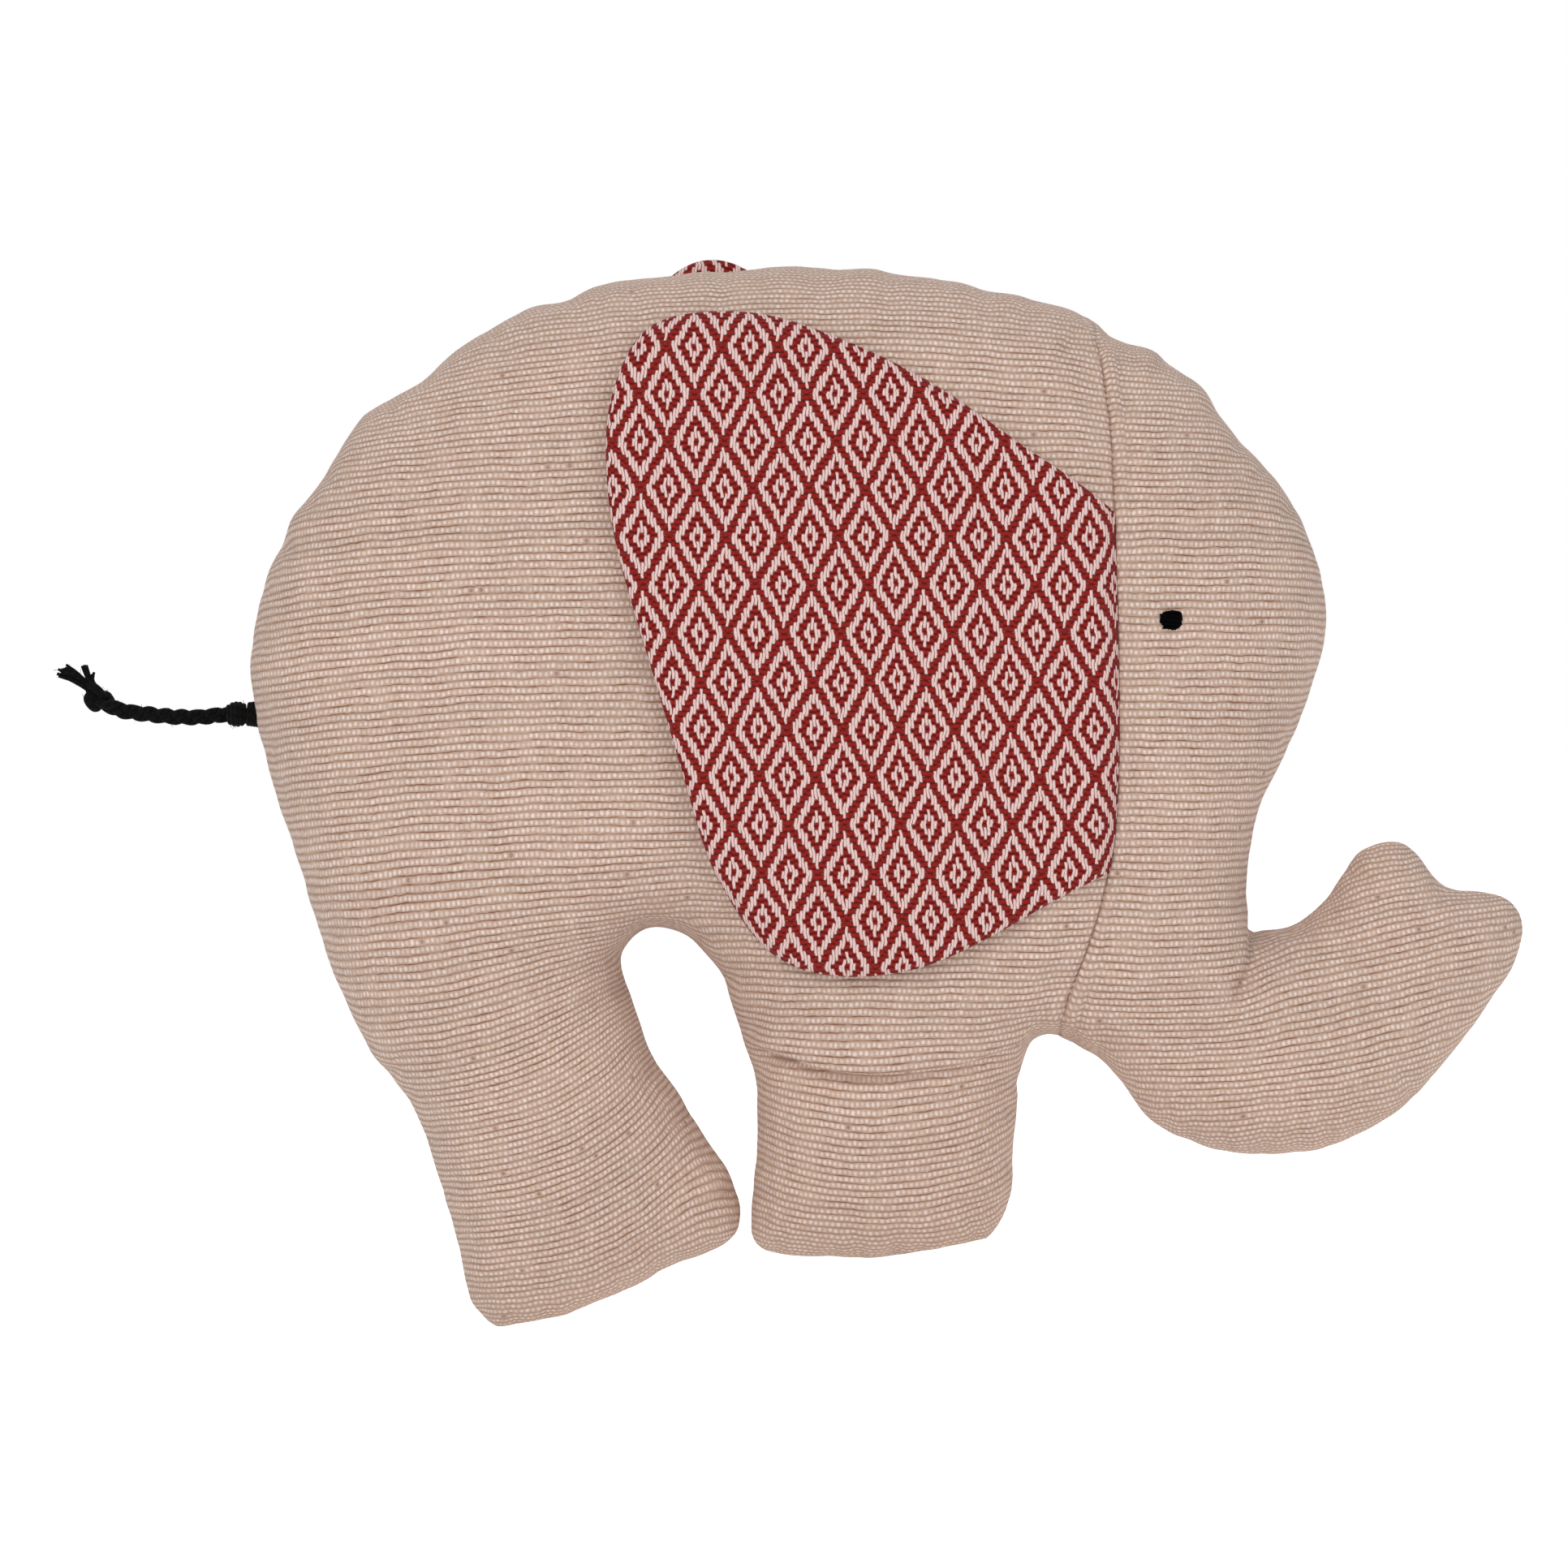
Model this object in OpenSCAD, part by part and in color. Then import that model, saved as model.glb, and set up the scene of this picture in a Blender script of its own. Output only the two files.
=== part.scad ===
/* [Stance] */
// How far the toy leans nose-down so that both feet meet the floor (degrees)
stance_angle = 10.3; // [9.8:0.1:10.8]
// How far the soft soles are pressed flat by the floor (mm)
sole_flat = 1.5; // [1:0.1:2]

/* [Stuffed form] */
// Half of the thickness of the barrel at its fattest (mm)
barrel_half = 41; // [38:0.5:44]
// Half of the thickness of the head beside the eye (mm)
head_half = 35; // [33:0.5:38]
// Half of the thickness of both legs (mm)
leg_half = 23; // [20:0.5:24]
// Half of the thickness of the trunk at its bend (mm)
trunk_half = 21; // [18:0.5:24]

/* [Cloth and thread] */
// Thickness of the woven cloth (mm)
cloth = 1.2; // [1:0.1:1.4]
// Width of the slot in which each seam's thread runs (mm)
seam_slot = 0.8; // [0.7:0.05:1]
// Thickness of the sewing thread (mm)
thread = 0.4; // [0.3:0.05:0.45]
// Free gap between the cloth and the filling (mm)
fill_gap = 0.3; // [0.25:0.05:0.5]

/* [Ears] */
// Thickness of one layer of ear cloth (mm)
ear_layer = 1.1; // [0.8:0.1:1.3]
// Free gap between the ear and the body it lies on (mm)
ear_gap = 0.8; // [0.6:0.1:1.2]
// How much higher the left ear is sewn than the right one (mm)
left_ear_raise = 10; // [6:0.5:10]

/* [Tail] */
// Thickness of the plaited cord (mm)
tail_cord_d = 3.2; // [2.8:0.1:3.4]
// Length of the knot along the tail (mm)
knot_length = 7; // [6:0.2:7.4]
// Diameter of the wrapped root of the tail (mm)
tail_root_d = 5.6; // [5:0.1:5.8]

/* [Eyes] */
// Width of an embroidered eye (mm)
eye_width = 4.9; // [4:0.1:5.5]
// Height of an embroidered eye (mm)
eye_height = 4.2; // [3.6:0.1:5]

/* [Hidden] */

// Lengths below are in mm in the pattern plane: x towards the nose, z up, before the stance turn.
// Each station is [x, z, heading in degrees, half width, half thickness as a part of its limb].
sides = 28;
big = 500;
shift_x = -44;
shift_z = -10.03 - sole_flat;

spine = [
    [-117, 149, 0, 5, 0.14], [-115.5, 148.5, 0, 12, 0.3], [-113, 146.5, 0, 22, 0.47],
    [-107, 144, 0, 37, 0.66], [-98, 142.5, 0, 51, 0.79], [-84.5, 144, 0, 61.5, 0.89],
    [-65, 152, 0, 70.5, 0.96], [-39.5, 158, 0, 74, 1], [-26, 162, 0, 72.5, 1],
    [-14, 157, 0, 78, 1], [-5, 149, 0, 86, 1], [20, 145.5, 0, 90, 1], [43, 145.5, 0, 86, 0.98],
    [59.5, 148, 0, 80, 0.95], [70, 147.5, 0, 74, 0.92], [84.5, 151.5, 0, 63.5, 0.87],
    [95.5, 151, 0, 55.5, 0.8], [105.5, 150, 0, 43.5, 0.69], [110.5, 155.5, 0, 31.5, 0.59],
    [115, 158, 0, 23, 0.47], [119, 158.5, 0, 13, 0.31], [120.8, 159, 0, 5, 0.14]
];
rear_leg = [
    [-79, 118, -82, 28, 0.8], [-73, 98, -84, 30.5, 0.92], [-66, 78, -86, 31.5, 0.97],
    [-60, 64.5, -84, 29.5, 1], [-52.5, 51.5, -82, 28.5, 1], [-46, 39.5, -82, 29.5, 1],
    [-41.5, 27, -80, 31.5, 0.99], [-38, 15, -74, 29.5, 0.9], [-37.5, 10, -70, 25.5, 0.75],
    [-37.5, 7.5, -69, 19.5, 0.55]
];
front_leg = [
    [22, 84, -90, 34, 0.9], [23.5, 68, -90, 31.5, 0.96], [23.5, 60, -90, 30, 0.98],
    [23.5, 46, -90, 28.5, 1], [23, 30, -90, 28.5, 1], [22, 24, -90, 28, 0.96],
    [20.5, 19.5, -90, 25, 0.83], [18.5, 17, -90, 19, 0.6]
];
trunk = [
    [88, 106, -90, 17, 1.1], [85.5, 79, -62, 24.5, 1.08], [94.5, 70.5, -42, 24.5, 1.04],
    [103.5, 66, -23, 25.5, 1], [114, 64.5, -5, 25, 0.97], [127, 71, 10, 26.5, 0.9],
    [138, 82, 18, 26, 0.78], [144, 88, 25, 22.5, 0.66], [148, 92, 29, 17.5, 0.55]
];
lower_finger = [
    [142, 82, 40, 15, 0.6], [152, 87, 45, 11, 0.5], [158.5, 88.5, 30, 7.5, 0.35], [163, 90, 25, 3.5, 0.18]
];
upper_finger = [[133, 92, 60, 13, 0.6], [136, 100, 65, 9, 0.45], [138.5, 106, 60, 4.5, 0.25]];

// The neck seam from the nape down to the chin, run on past both ends.
neck_line = [
    [66, 260], [69.5, 222.5], [71.5, 216], [74, 201.5], [75, 180], [76, 133], [75.5, 115],
    [74, 102.5], [70, 88], [65, 76.5], [62.5, 70], [61.5, 66], [61.5, 0]
];
// The ear's edge from the top of the neck seam, round the back and up to its lower front corner.
ear_edge = [
    [74, 182.5], [66.5, 189], [54, 197], [43, 205], [32.5, 212.5], [9, 223], [0, 225.5],
    [-8, 227], [-20, 226.5], [-28.5, 224], [-35, 215], [-38.5, 205], [-38.5, 194.5],
    [-37.5, 180], [-34, 165.5], [-28.5, 147.5], [-21.5, 124], [-16.5, 106], [-12.5, 98],
    [-7, 89], [0, 82], [7, 79], [18, 78], [30.5, 80], [39.5, 83.5], [50.5, 89], [61, 95.5], [73, 101]
];
hinge_x = 75.5;

// The tail's centre line from the root to the knot and the end of the tuft.
tail_x = -119.3;
tail_route = [
    [-123.3, 136.7], [-126, 136.4], [-129, 136.1], [-132, 136.1], [-135, 136.2], [-138, 136.6],
    [-141, 136.9], [-144, 137.2], [-147, 137.9], [-148.2, 138.5]
];
tuft_route = [[-153.4, 142.6], [-155, 144.4], [-157, 145.8], [-159.6, 146.6]];
knot_mid = [-151.1, 140.4];
eye_x = 87;
eye_y = 33.97 + head_half - 35;
eye_z = 157.7;

function ring(s, half, c, w) = [
    for (k = [0 : sides - 1])
        let (p = 360 * k / sides, u = (s[3] - c) * cos(p), a = s[2])
        [s[0] + w * c * cos(a) - u * sin(a), (s[4] * half - c) * sin(p), s[1] + w * c * sin(a) + u * cos(a)]
];
seg_faces = concat(
    [[for (k = [0 : sides - 1]) k]],
    [[for (k = [sides - 1 : -1 : 0]) k + sides]],
    [for (k = [0 : sides - 1]) let (j = (k + 1) % sides) [k, k + sides, j + sides, j]]
);

// A limb: stations joined pair by pair, everything drawn in by c.
module limb(st, half, c) {
    last = len(st) - 1;
    for (i = [0 : last - 1])
        hull() polyhedron(
            points = concat(
                ring(st[i], half, c, 1 - 2 * i / last),
                ring(st[i + 1], half, c, 1 - 2 * (i + 1) / last)),
            faces = seg_faces);
}

// The head end of the spine is thinner than the barrel by its own setting.
spine_full = [
    for (s = spine)
        let (t = s[0] < 50 ? 0 : min(1, (s[0] - 50) / 35))
        [s[0], s[1], s[2], s[3], s[4] * (barrel_half * (1 - t) + head_half / 0.87 * t)]
];

module posed() {
    translate([shift_x, 0, shift_z]) rotate([0, stance_angle, 0]) children();
}

module above(z) {
    translate([-big / 2, -big / 2, z]) cube(big);
}

module barrel_form(c) { limb(spine_full, 1, c); }
module rear_form(c) { limb(rear_leg, leg_half, c); }
module front_form(c) { limb(front_leg, leg_half, c); }
module trunk_form(c) {
    limb(trunk, trunk_half, c);
    limb(lower_finger, trunk_half, c);
    limb(upper_finger, trunk_half, c);
}

// The whole stuffed shape drawn in by c, its soles flat on the floor.
module whole(c) {
    intersection() {
        posed() {
            barrel_form(c);
            rear_form(c);
            front_form(c);
            trunk_form(c);
        }
        above(c);
    }
}

// A solid slab over a flat outline in the pattern plane.
module over(thick = 200) {
    posed() rotate([90, 0, 0]) linear_extrude(thick, center = true) children();
}
module head_side(d) {
    offset(delta = -d) polygon(concat(neck_line, [[300, 0], [300, 260]]));
}
module body_side(d) {
    offset(delta = -d) polygon(concat(neck_line, [[-300, 0], [-300, 260]]));
}
module right_side(d) { translate([-big / 2, -big - d, -1]) cube(big); }
module left_side(d) { translate([-big / 2, d, -1]) cube(big); }

// The way in for the sewn-in end of the tail.
module tail_way(r) {
    posed() translate([tail_x, 0, 136.8]) {
        translate([-4, 0, 0]) rotate([0, 90, 0]) cylinder(h = 14, r = r, $fn = 20);
        translate([10, 0, 0]) sphere(r = r + 1.2, $fn = 20);
    }
}

module panel() {
    difference() {
        whole(0);
        whole(cloth);
        tail_way(tail_cord_d / 2 + 0.35);
    }
}

module body_panel_right() {
    color([0.83, 0.73, 0.70]) intersection() {
        panel();
        over() body_side(seam_slot / 2);
        right_side(seam_slot / 2);
    }
}
module body_panel_left() {
    color([0.83, 0.73, 0.70]) intersection() {
        panel();
        over() body_side(seam_slot / 2);
        left_side(seam_slot / 2);
    }
}
module head_panel_right() {
    color([0.83, 0.73, 0.70]) intersection() {
        panel();
        over() head_side(seam_slot / 2);
        right_side(seam_slot / 2);
    }
}
module head_panel_left() {
    color([0.83, 0.73, 0.70]) intersection() {
        panel();
        over() head_side(seam_slot / 2);
        left_side(seam_slot / 2);
    }
}

// An ear layer: a skin between two distances off the barrel, cut to the ear's outline.
module ear_layer_at(near, far, side, raise) {
    intersection() {
        difference() {
            posed() limb(spine_full, 1, -far);
            posed() limb(spine_full, 1, -near);
        }
        over() ear_outline(raise);
        if (side < 0) right_side(0.5);
        if (side > 0) left_side(0.5);
    }
}
module ear_outline(raise) {
    intersection() {
        translate([0, raise]) polygon(ear_edge);
        polygon([[hinge_x - 1.6, 0], [hinge_x - 1.6, 260], [-200, 260], [-200, 0]]);
    }
}
ear_far = ear_gap + 2 * ear_layer + 0.2;
module ear_right_lining() {
    color([0.62, 0.22, 0.26]) ear_layer_at(ear_gap, ear_gap + ear_layer, -1, 0);
}
module ear_right_face() {
    color([0.72, 0.32, 0.36]) ear_layer_at(ear_far - ear_layer, ear_far, -1, 0);
}
module ear_left_lining() {
    color([0.62, 0.22, 0.26]) ear_layer_at(ear_gap, ear_gap + ear_layer, 1, left_ear_raise);
}
module ear_left_face() {
    color([0.72, 0.32, 0.36]) ear_layer_at(ear_far - ear_layer, ear_far, 1, left_ear_raise);
}

inside = cloth + fill_gap;
module fill_cut(d) {
    over() polygon([for (p = neck_line) p + [d, 0], [300, 0], [300, 260]]);
}
module stuffing_barrel() {
    color([0.93, 0.92, 0.89]) difference() {
        posed() barrel_form(inside);
        fill_cut(-fill_gap);
        tail_way(tail_cord_d / 2 + 0.8);
    }
}
module stuffing_head() {
    color([0.93, 0.92, 0.89]) difference() {
        intersection() { posed() barrel_form(inside); fill_cut(fill_gap); }
        posed() trunk_form(inside - fill_gap);
    }
}
module stuffing_trunk() {
    color([0.93, 0.92, 0.89]) intersection() { posed() trunk_form(inside); fill_cut(fill_gap); }
}
module stuffing_front_leg() {
    color([0.93, 0.92, 0.89]) difference() {
        intersection() { posed() front_form(inside); above(inside); }
        posed() barrel_form(inside - fill_gap);
    }
}
module stuffing_rear_leg() {
    color([0.93, 0.92, 0.89]) difference() {
        intersection() { posed() rear_form(inside); above(inside); }
        posed() barrel_form(inside - fill_gap);
    }
}

// The thread of the rim seam lies in the slot, half way through the cloth.
module thread_skin() {
    difference() {
        whole(cloth / 2 - thread / 2);
        whole(cloth / 2 + thread / 2);
    }
}
module rim_thread_body() {
    color([0.45, 0.36, 0.32]) difference() {
        intersection() {
            thread_skin();
            cube([big * 2, thread, big * 2], center = true);
            over() body_side(seam_slot);
        }
        tail_way(tail_cord_d / 2 + 0.8);
    }
}
module rim_thread_head() {
    color([0.45, 0.36, 0.32]) intersection() {
        thread_skin();
        cube([big * 2, thread, big * 2], center = true);
        over() head_side(seam_slot);
    }
}
module neck_band() {
    difference() {
        polygon(concat([for (p = neck_line) p + [-thread / 2, 0]], [[300, 0], [300, 260]]));
        polygon(concat([for (p = neck_line) p + [thread / 2, 0]], [[400, 0], [400, 260]]));
    }
}
module neck_thread_right() {
    color([0.35, 0.22, 0.20]) intersection() { thread_skin(); over() neck_band(); right_side(seam_slot); }
}
module neck_thread_left() {
    color([0.35, 0.22, 0.20]) intersection() { thread_skin(); over() neck_band(); left_side(seam_slot); }
}

module eye(side) {
    color([0.06, 0.05, 0.05]) posed()
        translate([eye_x, side * (eye_y + 0.9), eye_z])
        rotate([0, 0, side * -15])
        scale([eye_width / 2, 0.8, eye_height / 2]) sphere(r = 1, $fn = 24);
}
module eye_right() { eye(-1); }
module eye_left() { eye(1); }

module tail_anchor() {
    color([0.07, 0.06, 0.06]) posed() translate([tail_x, 0, 136.8]) {
        translate([2.4, 0, 0]) rotate([0, 90, 0]) cylinder(h = 7.6, r = tail_cord_d / 2, $fn = 20);
        translate([10, 0, 0]) sphere(r = tail_cord_d / 2 + 0.9, $fn = 20);
    }
}
module tail_root() {
    color([0.07, 0.06, 0.06]) posed()
        translate([tail_x - 0.9, 0, 136.8]) sphere(r = tail_root_d / 2, $fn = 32);
}

// A cord swept along a route in the pattern plane.
cord_sides = 8;
function heading(r, i) =
    let (a = r[max(0, i - 1)], b = r[min(len(r) - 1, i + 1)])
    atan2(b[1] - a[1], b[0] - a[0]);
function cord_points(r, radii) = [
    for (i = [0 : len(r) - 1])
        for (k = [0 : cord_sides - 1])
            let (p = 360 * k / cord_sides, h = heading(r, i), u = radii[i] * cos(p))
            [r[i][0] - u * sin(h), radii[i] * sin(p), r[i][1] + u * cos(h)]
];
function cord_faces(n) = concat(
    [[for (k = [0 : cord_sides - 1]) k]],
    [[for (k = [cord_sides - 1 : -1 : 0]) k + (n - 1) * cord_sides]],
    [
        for (i = [0 : n - 2])
            for (k = [0 : cord_sides - 1])
                let (j = (k + 1) % cord_sides, m = i * cord_sides)
                [m + k, m + k + cord_sides, m + j + cord_sides, m + j]
    ]
);
module tail_cord() {
    color([0.07, 0.06, 0.06]) posed() polyhedron(
        points = cord_points(tail_route, [for (p = tail_route) tail_cord_d / 2]),
        faces = cord_faces(len(tail_route)));
}
module tail_knot() {
    color([0.07, 0.06, 0.06]) posed() translate([knot_mid[0], 0, knot_mid[1]])
        rotate([0, 40, 0]) scale([knot_length / 2 - 0.3, 3, 3]) sphere(r = 1, $fn = 28);
}
module tail_tuft() {
    color([0.07, 0.06, 0.06]) posed() polyhedron(
        points = cord_points(tuft_route, [1.3, 1.5, 1.2, 0.5]),
        faces = cord_faces(len(tuft_route)));
}

body_panel_right();
body_panel_left();
head_panel_right();
head_panel_left();
ear_right_face();
ear_right_lining();
ear_left_face();
ear_left_lining();
stuffing_barrel();
stuffing_head();
stuffing_trunk();
stuffing_front_leg();
stuffing_rear_leg();
rim_thread_body();
rim_thread_head();
neck_thread_right();
neck_thread_left();
eye_right();
eye_left();
tail_anchor();
tail_root();
tail_cord();
tail_knot();
tail_tuft();
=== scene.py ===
import math

import bmesh
import bpy
import numpy as np
from mathutils import Matrix, Vector, geometry


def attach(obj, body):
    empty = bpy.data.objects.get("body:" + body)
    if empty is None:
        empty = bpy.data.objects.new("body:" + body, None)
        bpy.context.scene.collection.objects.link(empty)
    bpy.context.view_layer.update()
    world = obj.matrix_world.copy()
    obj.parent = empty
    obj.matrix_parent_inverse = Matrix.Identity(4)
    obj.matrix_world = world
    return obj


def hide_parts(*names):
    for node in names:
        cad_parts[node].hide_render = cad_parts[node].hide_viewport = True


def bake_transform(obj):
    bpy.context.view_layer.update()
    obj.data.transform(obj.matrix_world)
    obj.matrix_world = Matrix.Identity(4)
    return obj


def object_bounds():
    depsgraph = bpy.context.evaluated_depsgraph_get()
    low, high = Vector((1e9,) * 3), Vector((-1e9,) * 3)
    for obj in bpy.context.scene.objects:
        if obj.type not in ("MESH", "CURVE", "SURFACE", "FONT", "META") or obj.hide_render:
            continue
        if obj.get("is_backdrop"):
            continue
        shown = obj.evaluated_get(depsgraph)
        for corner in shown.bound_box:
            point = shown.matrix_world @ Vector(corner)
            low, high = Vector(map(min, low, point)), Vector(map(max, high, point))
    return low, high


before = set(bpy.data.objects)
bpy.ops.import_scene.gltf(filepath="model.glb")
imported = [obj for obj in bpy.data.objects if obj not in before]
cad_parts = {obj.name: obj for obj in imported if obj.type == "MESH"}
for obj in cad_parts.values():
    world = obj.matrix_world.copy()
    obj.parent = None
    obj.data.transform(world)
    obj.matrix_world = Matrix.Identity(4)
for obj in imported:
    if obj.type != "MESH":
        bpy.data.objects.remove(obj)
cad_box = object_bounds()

# ---------------------------------------------------------------------------
# The studio: camera square to the toy's side, rolled by the toy's stance, with
# a pale floor and big soft lights. Lengths of the toy are kept in mm in its flat
# pattern plane (x towards the trunk, z up) and turned into the standing pose.
STANCE = math.radians(10.3)
SHIFT_X, SHIFT_Z = -44.0, -11.53
WIDTH_OF_VIEW = 0.3478
CAMERA_BACK = 1.8


def stand(points):
    """Pattern-plane points in mm, as the toy stands, in metres."""
    p = np.asarray(points, float)
    c, s = math.cos(STANCE), math.sin(STANCE)
    x = c * p[..., 0] + s * p[..., 2] + SHIFT_X
    z = -s * p[..., 0] + c * p[..., 2] + SHIFT_Z
    return np.stack([x, p[..., 1], z], axis=-1) * 0.001


scene = bpy.context.scene
aim = stand([1.1, 0, 121.3])
camera_data = bpy.data.cameras.new("camera")
camera_data.sensor_width = 36
camera_data.lens = 36 * CAMERA_BACK / WIDTH_OF_VIEW
camera = bpy.data.objects.new("camera", camera_data)
right = Vector((math.cos(STANCE), 0, -math.sin(STANCE)))
up = Vector((math.sin(STANCE), 0, math.cos(STANCE)))
back = Vector((0, -1, 0))
turn = Matrix((right, up, back)).transposed().to_4x4()
camera.matrix_world = Matrix.Translation((aim[0], -CAMERA_BACK, aim[2])) @ turn
camera_data.clip_end = 20
scene.collection.objects.link(camera)
scene.camera = camera
scene.view_settings.view_transform = "Standard"


def softbox(name, place, size, power, colour=(1, 1, 1)):
    light = bpy.data.lights.new(name, "AREA")
    light.shape = "DISK"
    light.size = size
    light.energy = power
    light.color = colour
    lamp = bpy.data.objects.new(name, light)
    lamp.location = place
    lamp.rotation_mode = "QUATERNION"
    lamp.rotation_quaternion = (Vector(aim) - Vector(place)).to_track_quat("-Z", "Y")
    scene.collection.objects.link(lamp)


softbox("key_light", (-0.75, -1.55, 1.25), 1.1, 13.2, (1.0, 0.985, 0.96))
softbox("fill_light", (1.1, -1.3, 0.55), 1.2, 5.2, (0.97, 0.985, 1.0))
softbox("top_light", (0.0, 0.25, 1.6), 1.3, 3.0)
softbox("back_light", (0.1, 1.7, 0.8), 1.2, 8.5)

world = bpy.data.worlds.new("studio_air")
scene.world = world
world.use_nodes = True
air = world.node_tree
air.nodes.clear()
air_out = air.nodes.new("ShaderNodeOutputWorld")
air_mix = air.nodes.new("ShaderNodeMixShader")
air_rays = air.nodes.new("ShaderNodeLightPath")
air_soft = air.nodes.new("ShaderNodeBackground")
air_soft.inputs["Color"].default_value = (0.96, 0.97, 1.0, 1)
air_soft.inputs["Strength"].default_value = 0.37
air_white = air.nodes.new("ShaderNodeBackground")
air_white.inputs["Color"].default_value = (1, 1, 1, 1)
air_white.inputs["Strength"].default_value = 1.0
air.links.new(air_rays.outputs["Is Camera Ray"], air_mix.inputs["Fac"])
air.links.new(air_soft.outputs[0], air_mix.inputs[1])
air.links.new(air_white.outputs[0], air_mix.inputs[2])
air.links.new(air_mix.outputs[0], air_out.inputs["Surface"])


def mesh_object(name, verts, faces, smooth=True):
    mesh = bpy.data.meshes.new(name)
    mesh.from_pydata([tuple(map(float, v)) for v in verts], [], [tuple(map(int, f)) for f in faces])
    mesh.update()
    mesh.polygons.foreach_set("use_smooth", [smooth] * len(mesh.polygons))
    obj = bpy.data.objects.new(name, mesh)
    scene.collection.objects.link(obj)
    return obj


floor = mesh_object("floor", [(-6, -6, -0.0006), (6, -6, -0.0006), (6, 6, -0.0006), (-6, 6, -0.0006)], [(0, 1, 2, 3)])
floor_paint = bpy.data.materials.new("pale_floor")
floor_paint.use_nodes = True
shader = floor_paint.node_tree.nodes["Principled BSDF"]
shader.inputs["Base Color"].default_value = (0.55, 0.55, 0.55, 1)
shader.inputs["Roughness"].default_value = 0.9
shader.inputs["Specular IOR Level"].default_value = 0.0
shader.inputs["Emission Color"].default_value = (1, 1, 1, 1)
seen = floor_paint.node_tree.nodes.new("ShaderNodeLightPath")
glow = floor_paint.node_tree.nodes.new("ShaderNodeMath")
glow.operation = "MULTIPLY_ADD"
glow.inputs[1].default_value = 0.45
glow.inputs[2].default_value = 0.47
floor_paint.node_tree.links.new(seen.outputs["Is Camera Ray"], glow.inputs[0])
floor_paint.node_tree.links.new(glow.outputs[0], shader.inputs["Emission Strength"])
floor.data.materials.append(floor_paint)
floor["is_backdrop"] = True

# ---------------------------------------------------------------------------
# Node shorthand for the cloth and yarn materials, and the yarn itself: black
# wool, dull, with fine twisted plies and a slight fuzz on its edges.


class Wiring:
    """Adds math nodes to one node tree and joins them up."""

    def __init__(self, tree):
        self.tree = tree

    def feed(self, socket, value):
        if isinstance(value, bpy.types.NodeSocket):
            self.tree.links.new(value, socket)
        else:
            socket.default_value = value

    def math(self, kind, a, b=None, c=None, clamp=False):
        node = self.tree.nodes.new("ShaderNodeMath")
        node.operation = kind
        node.use_clamp = clamp
        for socket, value in zip(node.inputs, (a, b, c)):
            if value is not None:
                self.feed(socket, value)
        return node.outputs[0]

    def times(self, a, b, clamp=False):
        return self.math("MULTIPLY", a, b, clamp=clamp)

    def plus(self, a, b, clamp=False):
        return self.math("ADD", a, b, clamp=clamp)

    def minus(self, a, b, clamp=False):
        return self.math("SUBTRACT", a, b, clamp=clamp)

    def ramp(self, value, low, high, to_low=0.0, to_high=1.0, smooth=True):
        node = self.tree.nodes.new("ShaderNodeMapRange")
        node.interpolation_type = "SMOOTHSTEP" if smooth else "LINEAR"
        for key, v in (("Value", value), ("From Min", low), ("From Max", high), ("To Min", to_low),
                       ("To Max", to_high)):
            self.feed(node.inputs[key], v)
        return node.outputs["Result"]

    def xyz(self, x, y, z=0.0):
        node = self.tree.nodes.new("ShaderNodeCombineXYZ")
        for socket, value in zip(node.inputs, (x, y, z)):
            self.feed(socket, value)
        return node.outputs[0]

    def split(self, vector):
        node = self.tree.nodes.new("ShaderNodeSeparateXYZ")
        self.feed(node.inputs[0], vector)
        return node.outputs

    def noise(self, vector, scale=1.0, detail=2.0, rough=0.5):
        node = self.tree.nodes.new("ShaderNodeTexNoise")
        self.feed(node.inputs["Vector"], vector)
        node.inputs["Scale"].default_value = scale
        node.inputs["Detail"].default_value = detail
        node.inputs["Roughness"].default_value = rough
        return node.outputs["Fac"]

    def chance(self, vector):
        node = self.tree.nodes.new("ShaderNodeTexWhiteNoise")
        node.noise_dimensions = "3D"
        self.feed(node.inputs["Vector"], vector)
        return node.outputs["Value"]

    def mix(self, fac, a, b):
        node = self.tree.nodes.new("ShaderNodeMix")
        node.data_type = "RGBA"
        self.feed(node.inputs[0], fac)
        self.feed(node.inputs[6], a)
        self.feed(node.inputs[7], b)
        return node.outputs[2]


def new_group(name, inputs, outputs):
    """A shader node group with named sockets; returns it, its wiring, and its two end nodes."""
    group = bpy.data.node_groups.new(name, "ShaderNodeTree")
    for label, kind, value in inputs:
        socket = group.interface.new_socket(label, in_out="INPUT", socket_type=kind)
        if value is not None:
            socket.default_value = value
    for label, kind in outputs:
        group.interface.new_socket(label, in_out="OUTPUT", socket_type=kind)
    return group, Wiring(group), group.nodes.new("NodeGroupInput"), group.nodes.new("NodeGroupOutput")


def new_material(name, roughness, sheen=0.0, sheen_rough=0.5, specular=0.3):
    mat = bpy.data.materials.new(name)
    mat.use_nodes = True
    bsdf = mat.node_tree.nodes["Principled BSDF"]
    bsdf.inputs["Roughness"].default_value = roughness
    bsdf.inputs["Sheen Weight"].default_value = sheen
    bsdf.inputs["Sheen Roughness"].default_value = sheen_rough
    bsdf.inputs["Specular IOR Level"].default_value = specular
    return mat, Wiring(mat.node_tree), bsdf


def raise_surface(wires, bsdf, height, distance, strength=1.0):
    bump = wires.tree.nodes.new("ShaderNodeBump")
    bump.inputs["Strength"].default_value = strength
    bump.inputs["Distance"].default_value = distance
    wires.feed(bump.inputs["Height"], height)
    wires.tree.links.new(bump.outputs["Normal"], bsdf.inputs["Normal"])


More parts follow.
